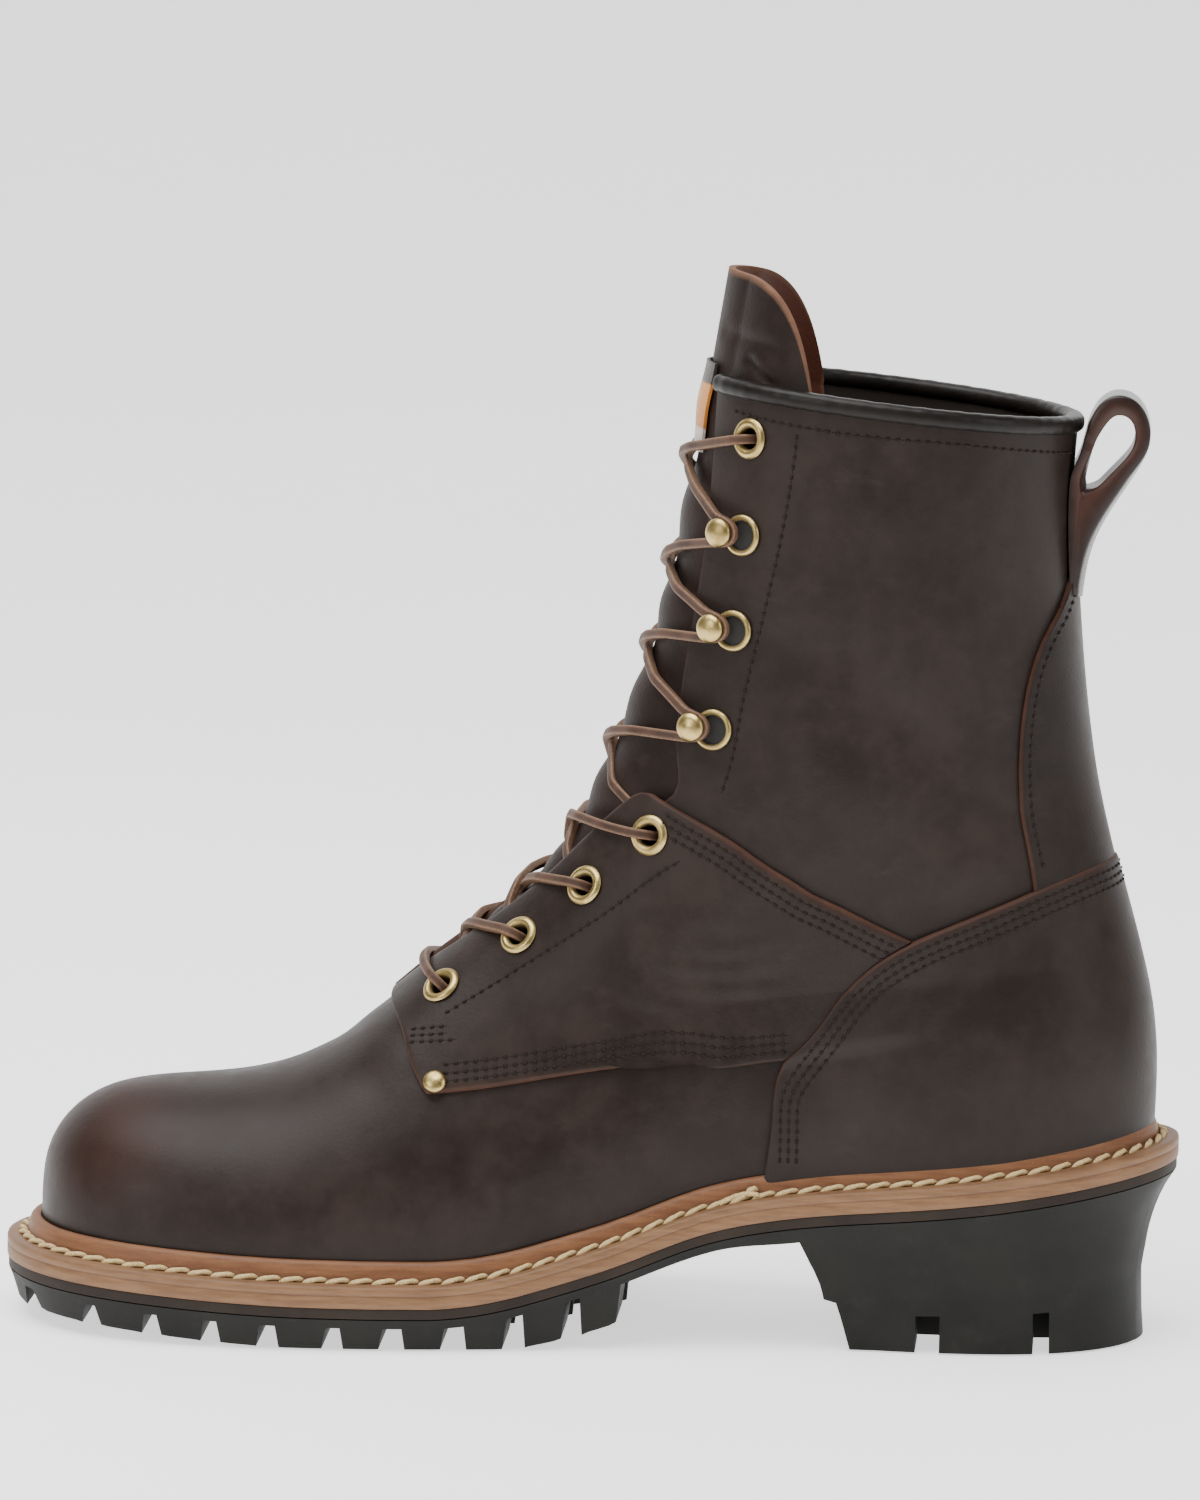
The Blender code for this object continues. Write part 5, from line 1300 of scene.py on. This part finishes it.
# Pull loop: outline beyond the back line and above the collar, then its hole, as shares of its size
pullLoop = {
    "size": 0.040, "width": 0.020, "between": 6, "backRadius": 0.056, "bendFrom": 0.003, "bendIn": 0.010,
    # across the strap: share of half its width, distance in, share of its thickness, raw edge outside and in
    "levels": [
        (-1.0, 0.0, 0.80, 0.10, 0.75), (-1.0, 0.0004, 0.95, 0, 0.6), (-1.0, 0.0012, 1.0, 0, 0.5),
        (-0.4, 0.0, 1.02, 0, 0.5), (0.4, 0.0, 1.02, 0, 0.5), (1.0, -0.0012, 1.0, 0, 0.5),
        (1.0, -0.0004, 0.95, 0, 0.6), (1.0, 0.0, 0.80, 0.10, 0.75),
    ],
    "table": [
        (0.012, -1.080, 0.090, -0.385), (0.012, -0.700, 0.090, -0.360), (0.014, -0.375, 0.085, -0.310),
        (0.030, -0.175, 0.100, -0.190), (0.060, 0.015, 0.125, -0.060), (0.125, 0.165, 0.180, 0.045),
        (0.240, 0.240, 0.250, 0.108), (0.375, 0.205, 0.330, 0.090), (0.460, 0.075, 0.370, 0.015),
        (0.470, -0.100, 0.365, -0.100), (0.400, -0.285, 0.300, -0.225), (0.255, -0.520, 0.215, -0.335),
        (0.130, -0.780, 0.150, -0.375), (0.062, -1.080, 0.110, -0.385),
    ],
}


def makePullLoop():
    size = pullLoop["size"]
    top = float(backZ(1.0))
    table = np.array(pullLoop["table"])
    count = (len(table) - 1) * pullLoop["between"] + 1
    fine = np.linspace(0, len(table) - 1, count)
    lines = [curveThrough(np.arange(len(table)), table[:, i])(fine) for i in range(4)]

    def point(dx, dz):
        z = top + dz * size
        line = backX(rowWhere(backZ, np.minimum(z, top)))
        return np.stack([line + dx * size, z], -1)

    outer = point(lines[0], lines[1])
    hole = point(lines[2], lines[3])
    middle = (outer + hole) / 2.0
    half = pullLoop["width"] / 2.0
    levels = [(share * half + inward, thick) for share, inward, thick, _, _ in pullLoop["levels"]]
    raw = column(pullLoop["levels"], 3) + column(pullLoop["levels"], 4)
    rings = []
    for o, h, m in zip(outer, hole, middle):
        ring = [(*(m + (o - m) * share), y) for y, share in levels]
        ring += [(*(m + (h - m) * share), y) for y, share in reversed(levels)]
        # Below the collar the strap bends round the back
        bends = [float(smooth((top - pullLoop["bendFrom"] - z) / pullLoop["bendIn"])) for _, z, _ in ring]
        rings.append([(x - y * y / pullLoop["backRadius"] * bend, y, z)
                      for (x, z, y), bend in zip(ring, bends)])
    points, faces = ringLoft(np.array(rings), True)
    meshPiece("pull_strap", points, faces, loopFinish, ["pull_loop"],
              {"rawEdge": np.tile(raw, len(rings))}, 60.0)


makePullLoop()
print("pull loop made")


# Welt: stitched strip with a bead against the leather. Sections are (offset from the feather line, height on
# the seat, bead share, share of painted shade in the seam's crease, the edge's groove and the joins), in
# millimetres
welt = {
    # strands of the knot: begin and length along the seam, out at both ends, rise at both ends
    "knotAt": 0.0406,
    "knot": [
        (-0.0050, 0.0052, 0.0010, -0.0006, 0.0004, 0.0012),
        (-0.0030, 0.0060, -0.0008, 0.0008, 0.0008, 0.0016),
        (-0.0008, 0.0050, 0.0008, -0.0002, 0.0002, 0.0020),
        (0.0012, 0.0044, -0.0004, 0.0012, 0.0012, 0.0008),
        (0.0020, 0.0030, 0.0000, -0.0010, 0.0018, 0.0024),
    ],
    "stations": 190,
    "section": [
        (-2.7, 0.0, 0, 0), (-2.7, 2.5, 0, 0), (0.25, 2.5, 0, 0), ("leather", 10.1, 1, 0.7),
        ("leather", 10.9, 1, 0.3), (1.35, 11.25, 1, 0), (2.15, 11.05, 1, 0), (2.75, 10.3, 1, 0),
        (3.15, 9.1, 1, 0), (3.45, 7.8, 1, 0), (3.70, 6.7, 1, 0.5), (4.00, 6.15, 0.4, 1), (4.9, 5.95, 0, 0.35),
        (5.9, 6.10, 0, 0.05), (7.4, 6.00, 0, 0), (8.3, 5.85, 0, 0), (8.8, 5.55, 0, 0), (9.0, 5.0, 0, 0),
        (9.0, 3.75, 0, 0), (8.9, 3.55, 0, 0.6),
        (8.86, 3.45, 0, 0.8), (8.9, 3.30, 0, 0.5), (9.0, 3.15, 0, 0), (9.0, 0.7, 0, 0), (8.9, 0.15, 0, 0.3),
        (8.4, 0.0, 0, 0.5),
    ],
    # offset and height of the seam in millimetres, then its stitches in metres
    "seam": (4.9, 6.2), "seamStations": 400, "pitch": 0.0060, "length": 0.0062, "radius": 0.00074,
    "slant": 0.0008, "first": 0.001, "sunkStart": -0.0002, "raisedEnd": 0.0006, "leanOut": 0.7,
    "unevenness": 0.25, "bow": 0.00042, "sink": -0.00035, "rings": 9, "sides": 10, "plies": 2.0,
    "plyDepth": 0.14, "plyTurn": 1.1, "onLeather": 0.0002,
}


def roundSide(count):
    # Shares round one side, spread evenly along the feather line
    u = np.linspace(0.0, 1.0, 1201)
    run = runAlong(surface(u, 0.0, innerSide))
    return np.interp(np.linspace(0.0, run[-1], count), run, u)


def rowAtHeight(u, side, height):
    low = np.zeros_like(u)
    high = np.full_like(u, 0.5)
    for _ in range(20):
        mid = (low + high) / 2.0
        p = surface(u, mid, side)
        under = p[:, 2] - seatZ(p[:, 0]) < height
        low = np.where(under, mid, low)
        high = np.where(under, high, mid)
    return (low + high) / 2.0


def aroundFeather(section, count):
    u = roundSide(count)
    sides = []
    for side in bothSides:
        columns = []
        for offset, height in section:
            h = height / 1000.0
            if offset == "leather":
                row = rowAtHeight(u, side, h)
                p = surface(u, row, side) + across(u, row, side) * welt["onLeather"]
                p[:, 2] = seatZ(p[:, 0]) + h
            else:
                plan = feather(u, side, offset / 1000.0)
                p = np.concatenate([plan, seatZ(plan[:, 0:1]) + h], 1)
            columns.append(p)
        sides.append(np.stack(columns, 1))
    return np.concatenate([sides[0], sides[1][::-1][1:-1]])


def makeWelt():
    rings = aroundFeather([row[:2] for row in welt["section"]], welt["stations"])
    points, faces = ringLoft(rings, True)
    # The seam mark is painted shade in the crease, the groove and the joins
    marks = {"bead": np.tile(column(welt["section"], 2), len(rings)),
             "seam": np.tile(column(welt["section"], 3), len(rings))}
    meshPiece("welt_strip", points, faces, weltFinish, ["welt"], marks, 55.0)


def makeWeltStitches():
    # A rope of slanted stitches in the crease between bead and ledge
    w = welt
    offset, height = w["seam"]
    rings = aroundFeather([(offset, height), (offset + 1.0, height)], w["seamStations"])
    ring, away = [np.concatenate([rings[:, k], rings[:1, k]]) for k in (0, 1)]
    away = unit(away - ring)
    run = runAlong(ring)
    number = int(round(run[-1] / w["pitch"]))
    slant = w["slant"] * (1.0 + w["unevenness"] * np.sin(np.arange(number) * 2.3))
    rows = np.zeros((number, 6))
    rows[:, 0] = np.linspace(0.0, run[-1], number, endpoint=False) + w["first"]
    rows[:, 1] = w["length"]
    rows[:, 2] = slant
    rows[:, 3] = -slant
    rows[:, 4:] = w["sunkStart"], w["raisedEnd"]
    # The thread's start and finish, at the waist on the inner side
    knot = np.array(w["knot"])
    knot[:, 0] += run[np.argmin(np.abs(ring[:, 0] - w["knotAt"]) + 10.0 * (ring[:, 1] > 0.0))]
    begin, span, outFirst, outLast, riseFirst, riseLast = np.concatenate([rows, knot]).T
    starts = readAt(begin, run, ring) + readAt(begin, run, away) * outFirst[:, None]
    ends = readAt(begin + span, run, ring) + readAt(begin + span, run, away) * outLast[:, None]
    starts[:, 2] += riseFirst
    ends[:, 2] += riseLast
    outs = unit(straightUp + readAt(begin, run, away) * w["leanOut"])
    points, faces = stitchMesh(starts, ends, outs, w["radius"], w["bow"], w["sink"], w["rings"], w["sides"])
    # Two plies twisted round each other
    grid = points.reshape(len(starts), w["rings"], w["sides"], 3)
    centre = grid.mean(axis=2, keepdims=True)
    k = around(w["sides"])[None, None, :, None]
    r = np.arange(w["rings"])[None, :, None, None]
    twist = 1.0 + w["plyDepth"] * np.cos(w["plies"] * k - r * w["plyTurn"])
    points = (centre + (grid - centre) * twist).reshape(-1, 3)
    meshPiece("welt_stitches", points, faces, creamThread, angle=180.0)


makeWelt()
makeWeltStitches()
print("welt made")


# Sole: a thin brown layer under the welt, then the moulded rubber with its lugs and heel
sole = {
    "plate": last["plate"], "midsole": last["midsole"], "gap": last["gap"], "out": 0.0090, "step": 0.0004,
    "insole": 0.0045, "insoleGap": 0.0006, "stations": 160, "slices": 9, "rounding": 0.0009, "near": 1e-6,
    "plateLean": 0.0010, "lugLean": 0.0026, "draft": 0.0009, "notch": 0.0014,
    "tipLift": 0.0042, "tipFrom": 0.08, "waistLift": 0.0068, "waistFrom": 0.435, "waistReach": 0.103,
    "heelTaper": 0.0088, "breastRake": 0.0135, "heelBreast": 0.695, "heelTop": 0.30, "heelSide": 0.60,
    "lugs": [
        (-0.031, -0.009), (0.000, 0.053), (0.065, 0.112), (0.124, 0.167), (0.179, 0.218), (0.232, 0.277),
        (0.290, 0.328), (0.345, 0.383), (0.400, 0.438), (0.452, 0.490), (0.502, 0.538),
    ],
    "heelLugs": [(0.695, 0.799), (0.821, 0.909), (0.925, 1.031)],
    "bands": [-1.0, -0.78, -0.50, -0.38, -0.13, 0.13, 0.38, 0.50, 0.78, 1.0],
    "grooves": (2, 6),
    # share of the heel's height, share of the breast's rake, share of the taper
    "heelFaces": [
        (0.93, 0.07, 0.46), (0.86, 0.14, 0.59), (0.79, 0.21, 0.69), (0.73, 0.28, 0.76), (0.66, 0.345, 0.82),
        (0.60, 0.40, 0.86), (0.52, 0.45, 0.92), (0.455, 0.48, 0.962), (0.425, 0.72, 0.968),
        (0.30, 0.81, 0.955), (0.16, 0.90, 0.93), (0.00, 1.00, 0.87),
    ],
    "grooveFace": 10, "finest": 0.011, "tipMarks": (0.0006, 0.002, 0.0045, 0.009),
    "tailMarks": (0.0006, 0.002, 0.0045, 0.0085), "heelBlend": (0.62, 0.07), "rakeEnd": 0.80,
    # bands near the middle that close the notches: their reach under the foot and the heel, and their stretch
    "rib": 0.1, "heelRib": 0.6, "ribFrom": 0.02, "ribTo": 0.52, "wholeTail": 0.985, "outerBand": 0.6,
}


def layer(name, offset, low, high, finish, slot, replaced):
    u = roundSide(sole["stations"])
    near, far = [feather(u, side, offset) for side in bothSides]
    shares = np.linspace(0.0, 1.0, sole["slices"])

    def level(height):
        grid = near[:, None] + (far - near)[:, None] * shares[None, :, None]
        return np.concatenate([grid, seatZ(grid[..., 0:1]) + height], -1)

    points, faces = closedSheet(level(high), level(low))
    meshPiece(name, points, faces.tolist(), finish, replaced)


def soleMarks():
    edges = sorted(e for lug in sole["lugs"] + sole["heelLugs"] for e in lug)
    marks = []
    for start, end in zip(edges, edges[1:]):
        steps = max(1, math.ceil((end - start) / sole["finest"]))
        marks += [start + (end - start) * k / steps for k in range(steps)]
    marks.append(edges[-1])
    tip = [edges[0] + d for d in sole["tipMarks"]]
    tail = [edges[-1] - d for d in sole["tailMarks"]]
    return sorted(set(marks + tip + tail))


def lugBottom(s):
    tip = sole["tipLift"] * np.maximum(springShare(np.clip(s, 0.0, 1.0)) - sole["tipFrom"], 0.0)
    waist = sole["waistLift"] * np.clip((s - sole["waistFrom"]) / sole["waistReach"], 0.0, 1.0) ** 1.5
    return float(tip + waist)


def makeOutsole():
    marks = soleMarks()
    fine = np.linspace(0.0, 1.0, 4001)
    line = feather(fine, innerSide, sole["out"])[:, 0]
    places = np.interp(toeX + np.array(marks) * last["length"], line, fine)
    places[0] = 0.0
    places[-1] = 1.0
    edges = {side: (surface(places, 0.0, side)[:, :2], planNormal(places, side)) for side in bothSides}
    bands = sole["bands"]
    deepest = 1 + len(sole["heelFaces"])
    shallow = 1 + sole["grooveFace"]
    near = sole["near"]
    breast = sole["heelBreast"] - near

    def inLug(i, table):
        return any(start - near <= marks[i] and marks[i + 1] <= end + near for start, end in table)

    def bottomLevel(i, j):
        if i < 0 or j < 0 or i >= len(marks) - 1 or j >= len(bands) - 1:
            return 0
        groove = j in sole["grooves"]
        middle = abs(bands[j] + bands[j + 1])
        if marks[i] >= breast:
            whole = inLug(i, sole["heelLugs"]) and (not groove or marks[i] > sole["wholeTail"])
            return deepest if middle < sole["heelRib"] or whole else shallow
        if middle < sole["rib"] and sole["ribFrom"] < marks[i] < sole["ribTo"]:
            return 2
        return 2 if inLug(i, sole["lugs"]) and (not groove or marks[i] < sole["ribFrom"]) else 1

    def place(i, j, level, heel):
        s = marks[i]
        blendFrom, blendIn = sole["heelBlend"]
        toHeel = float(smooth((s - blendFrom) / blendIn))
        inset = 0.0
        taper = 0.0
        along = 0.0
        if level >= 1:
            inset = sole["plateLean"] * (1.0 - toHeel)
            taper = sole["heelTaper"] * sole["heelTop"] * toHeel
        if level == 2 and not heel:
            inset = sole["lugLean"]
            before = i > 0 and bottomLevel(i - 1, max(j - 1, 0)) == 2
            after = i < len(marks) - 1 and bottomLevel(i, max(j - 1, 0)) == 2
            along = sole["draft"] * (float(after) - float(before))
        if heel and level >= 2:
            share, rake, width = sole["heelFaces"][level - 2]
            taper = sole["heelTaper"] * width
            inset = 0.0
        ends = []
        for points, normals in edges.values():
            back = max(float(normals[i][0]), 0.0)
            amount = taper * (sole["heelSide"] + (1.0 - sole["heelSide"]) * back * back)
            ends.append(points[i] + normals[i] * (sole["out"] - sole["step"] - inset - amount))
        if i in (0, len(marks) - 1):
            ends = [(ends[0] + ends[1]) / 2.0] * 2
        x, y = ends[0] + (ends[1] - ends[0]) * (bands[j] + 1.0) / 2.0
        top = float(seatZ(x)) - 2.0 * sole["gap"] - sole["midsole"]
        z = top if level == 0 else top - sole["plate"]
        if level == 1 and abs(bands[j]) > sole["outerBand"]:
            z += sole["notch"] * (1.0 - toHeel)
        if level == 2 and not heel:
            z = lugBottom(s)
        if heel and level >= 2:
            fade = 1.0 - float(smooth((s - sole["heelBreast"]) / (sole["rakeEnd"] - sole["heelBreast"])))
            z = (top - sole["plate"]) * share
            x += sole["breastRake"] * rake * fade
        return (x + along, y, z)

    vertices = []
    known = {}

    def vertex(i, j, level, heel):
        key = (i, 0 if i in (0, len(marks) - 1) else j, level, heel and level >= 2)
        if key not in known:
            known[key] = len(vertices)
            vertices.append(place(i, j, level, heel))
        return known[key]

    faces = []

    def add(face):
        face = [p for k, p in enumerate(face) if p != face[k - 1]]
        if len(face) > 2:
            faces.append(face)

    for i in range(len(marks) - 1):
        heel = marks[i] >= breast
        for j in range(len(bands) - 1):
            deep = bottomLevel(i, j)
            corner = [(i, j), (i + 1, j), (i + 1, j + 1), (i, j + 1)]
            add([vertex(a, b, 0, heel) for a, b in corner])
            add([vertex(a, b, deep, heel) for a, b in reversed(corner)])
            beyond = [(i, j - 1), (i + 1, j), (i, j + 1), (i - 1, j)]
            for n in range(4):
                start = corner[n]
                end = corner[(n + 1) % 4]
                for level in range(bottomLevel(*beyond[n]), deep):
                    add([vertex(*end, level, heel), vertex(*start, level, heel),
                         vertex(*start, level + 1, heel), vertex(*end, level + 1, heel)])
    piece = meshPiece("lug_sole", np.array(vertices), faces, soleFinish, ["outsole"],
                      angle=30.0)
    bevel = piece.modifiers.new("rounded", "BEVEL")
    bevel.width = sole["rounding"]
    bevel.segments = 2
    bevel.limit_method = "ANGLE"
    bevel.angle_limit = math.radians(38.0)
    bevel.harden_normals = False


layer("midsole_strip", sole["out"] - sole["step"], -sole["gap"] - sole["midsole"], -sole["gap"] * 0.3,
      midsoleFinish, "midsole_rubber", ["midsole"])
layer("insole_sheet", -(upper["thickness"] + sole["insoleGap"]), 0.0, sole["insole"],
      insoleFinish, "insole_leather", ["insole"])
makeOutsole()
print("sole made")


# Laces: leather strands over the tongue and through the eyelets and hooks
def laceStrand(name, keys, replaced):
    # keys: points with the way the strand's face looks. It runs taut between them, rounded where it turns
    table = np.array([np.concatenate(key) for key in keys])
    knots = runAlong(table[:, :3])
    count = int(knots[-1] / laces["step"])
    both = readAt(np.linspace(0.0, knots[-1], count), knots, table)
    reach = laces["softReach"]
    ends = np.concatenate([np.repeat(both[:1], reach, 0), both, np.repeat(both[-1:], reach, 0)])
    weights = bell(reach, laces["soften"])
    both = np.stack([np.convolve(ends[:, i], weights, "valid") for i in range(6)], -1)
    centre = both[:, :3]
    run = unit(np.gradient(centre, axis=0))
    out = unit(both[:, 3:] - run * np.sum(both[:, 3:] * run, axis=1, keepdims=True))
    aside = np.cross(run, out)
    w = laces["width"] / 2.0
    h = laces["thick"] / 2.0
    section = laces["section"] + [(a, -b, cut) for a, b, cut in reversed(laces["section"])]
    rings = np.stack([centre + aside * (w * a) + out * (h * b) for a, b, _ in section], 1)
    strand, faces = ringLoft(rings, False)
    marks = {"cutSide": np.tile(column(section, 2), count)}
    meshPiece(name, strand, faces, laceFinish, replaced, marks, 60.0)


def at(u, v, side, height):
    u = np.array(float(u))
    v = np.array(float(v))
    return leatherPoint(u, v, side, np.array(float(height))), across(u, v, side)


def ridgeKey(row, height):
    flat = np.array([1.0, 0.0, 1.0])
    n = unit(across(0.0, row, innerSide) * flat)
    return (surface(0.0, row, innerSide) + n * height) * flat, n


def overEyelet(k, side, row, ridge):
    # From inside the eyelet out over its rim, then taut towards the ridge
    u, v = hardware["eyelets"][k]
    top = hardware["quarterTop"] if k < hardware["onQuarter"] else 0.0
    half = laces["thick"] / 2.0
    ahead = hardware["forward"]
    stretch = float(np.linalg.norm(surface(u - ahead, v, side) - surface(u, v, side)))
    rim = hardware["flange"] * ahead / stretch
    edge = float(facingEdge((v + row) / 2.0)) * laces["edgeShare"]
    keys = [(u + share * rim, height + half * added) for share, height, added in laces["overRim"]]
    keys += [((u - rim + edge) / 2.0, laces["edgeLift"] + half), (edge, half)]
    keys.append((edge * 0.5, half + (ridge - top - half) * 0.5))
    return [at(a, v + (row - v) * max(1.0 - a / u, 0.0), side, top + h) for a, h in keys]


def underFacing(row, side, ridge):
    # From the ridge down and in under the facing's edge
    edge = float(facingEdge(row))
    return [at(edge * share + past, row + down, side, ridge * high + height)
            for share, past, down, high, height in laces["underEdge"]]


def hookKeys(k, side, rowBefore, rowAfter, ridgeBefore, ridgeAfter):
    # From one ridge to the hook, under its head round the neck, and back to the next ridge
    u, v = hardware["hooks"][k]
    half = laces["thick"] / 2.0
    centre, axis, forward = seatOf(u, v, side)
    up = np.cross(axis, forward)
    up *= np.sign(up[2])
    neck = centre + forward * hardware["hookShift"] * laces["neckShare"] + axis * laces["neckHeight"]
    reach = hardware["hookNeck"] + laces["width"] / 2.0 + laces["neckGap"]
    edge = float(facingEdge(v))

    def taut(row, ridge, shares):
        places = [(u * (1.0 - s), v + (row - v) * s) for s in shares]
        return [at(a, b, side, half + (ridge - half) * max(1.0 - a / edge, 0.0)) for a, b in places]

    way = [(neck + forward * (ahead + reach * a) + up * reach * b, axis)
           for ahead, a, b in laces["aroundHook"]]
    shares = laces["tautShares"]
    return taut(rowBefore, ridgeBefore, shares) + way + taut(rowAfter, ridgeAfter, shares[::-1])


def makeLaces():
    rows = laces["rows"]
    level = laces["thick"] * laces["level"]
    resting = laces["resting"]
    # The bar between the two lowest eyelets
    ridge = hardware["quarterTop"] + laces["barRise"]
    near, far = [overEyelet(0, side, rows[0], ridge) for side in bothSides]
    laceStrand("lace_bar_leather", near + [ridgeKey(rows[0], ridge)] + far[::-1], ["lace_bar"])
    # Strands from each eyelet to the one above on the other side
    for k in range(3):
        for side, word, over in ((innerSide, "near", k % 2 == 0), (outerSide, "far", k % 2 == 1)):
            ridge = resting + (level if over else 0.0)
            keys = overEyelet(k + 1, side, rows[k + 1], ridge) + [ridgeKey(rows[k + 1], ridge)]
            keys += underFacing((rows[k + 1] + rows[k]) / 2.0 + laces["crossing"], -side, ridge)
            laceStrand(f"lace_strand_{k + 1}_{word}", keys, [f"lace_crossing_{k + 1}"])
    # The long strands, from under the quarter's corner round every hook to the top eyelet
    for side, word in ((innerSide, "near"), (outerSide, "far")):
        ridges = [resting + (level if (k + (side > 0)) % 2 else 0.0) for k in range(3)]
        ridges.append(laces["topResting"] + (level if side < 0 else 0.0))
        keys = underFacing(laces["under"], side, ridges[0])[::-1] + [ridgeKey(rows[4], ridges[0])]
        here = side
        for k in range(3):
            here = -here
            keys += hookKeys(k, here, rows[4 + k], rows[5 + k], ridges[k], ridges[k + 1])
            keys.append(ridgeKey(rows[5 + k], ridges[k + 1]))
        keys += overEyelet(4, -here, rows[7], ridges[3])[::-1]
        laceStrand(f"lace_long_{word}", keys, [f"lace_crossing_{k}" for k in (4, 5, 6, 7)])


makeLaces()
print("laces made")


# Camera at the photograph's angle, then a pale sweep and soft lights
view = {
    "eye": (0.1386, -1.9951, 0.430), "target": (-0.0009, 0.0, 0.1509), "roll": math.radians(1.0),
    "photoHeight": 1500.0, "focal": 7680.0, "shift": 3.0, "sensor": 36.0,
}
stage = {
    "nearest": -4.0, "curveFrom": 2.2, "radius": 1.6, "steps": 25, "height": 5.0, "halfWidth": 7.0,
    "drop": 0.0005, "glow": 1.15, "glowFrom": (-0.60, -0.36), "world": 0.22,
}
# place, target, size and watts
lights = {
    "overhead": ((-0.3, -0.3, 1.6), (0.0, 0.0, 0.1), (1.6, 1.2), 40.0),
    "frontLeft": ((-1.3, -1.5, 0.9), (0.0, 0.0, 0.12), (0.9, 0.9), 11.0),
    "right": ((1.6, -0.9, 0.8), (0.0, 0.0, 0.12), (0.7, 1.2), 8.0),
}


def makeCamera():
    eye = Vector(view["eye"])
    ahead = (Vector(view["target"]) - eye).normalized()
    right = ahead.cross(Vector(straightUp)).normalized()
    up = right.cross(ahead)
    turnedRight = right * math.cos(view["roll"]) + up * math.sin(view["roll"])
    turnedUp = up * math.cos(view["roll"]) - right * math.sin(view["roll"])
    data = bpy.data.cameras.new("camera")
    data.lens = view["focal"] / view["photoHeight"] * view["sensor"]
    data.sensor_width = view["sensor"]
    data.shift_x = view["shift"] / view["photoHeight"]
    data.clip_end = 20.0
    camera = addToScene("camera", data)
    frameMatrix = Matrix((turnedRight, turnedUp, -ahead)).transposed().to_4x4()
    frameMatrix.translation = eye
    camera.matrix_world = frameMatrix
    bpy.context.scene.camera = camera


def softLight(name, place, target, size, power):
    data = bpy.data.lights.new(name, "AREA")
    data.shape = "RECTANGLE"
    data.size, data.size_y = size
    data.energy = power
    light = addToScene(name, data)
    light.location = place
    light.rotation_euler = (Vector(target) - Vector(place)).to_track_quat("-Z", "Y").to_euler()


def makeStage():
    f = Finish("paleFloor", 0.62, specular=0.25)
    f.feed("Base Color", f.blend(f.spread(f.noise(3.0), 0.3, 0.7), (0.90, 0.90, 0.90), (0.92, 0.92, 0.92)))
    # Only what is in view glows, so that the boot's near side stays dark
    inView = f.spread(f.part("Y"), *stage["glowFrom"])
    f.feed("Emission Color", f.blend(inView, (0.0, 0.0, 0.0), (1.0, 1.0, 1.0)))
    f.shader.inputs["Emission Strength"].default_value = stage["glow"]
    # A sweep: flat under the boot, curving up behind it
    start, radius = stage["curveFrom"], stage["radius"]
    turn = np.linspace(0.0, np.pi / 2.0, stage["steps"])
    profile = [(start + radius * math.sin(k), radius - radius * math.cos(k)) for k in turn]
    profile.insert(0, (stage["nearest"], 0.0))
    profile.append((start + radius, stage["height"]))
    half = stage["halfWidth"]
    points = np.array([(x, y, z - stage["drop"]) for y, z in profile for x in (-half, half)])
    faces = [[2 * k, 2 * k + 1, 2 * k + 3, 2 * k + 2] for k in range(len(profile) - 1)]
    mesh = bpy.data.meshes.new("floor")
    mesh.from_pydata(points.tolist(), [], faces)
    mesh.shade_smooth()
    mesh.materials.append(f.material)
    floor = addToScene("floor", mesh)
    world = bpy.data.worlds.new("studio")
    world.use_nodes = True
    world.node_tree.nodes["Background"].inputs[0].default_value = (1.0, 1.0, 1.0, 1.0)
    world.node_tree.nodes["Background"].inputs[1].default_value = stage["world"]
    bpy.context.scene.world = world


makeCamera()
makeStage()
for name, settings in lights.items():
    softLight(name, *settings)
print("camera and light set")
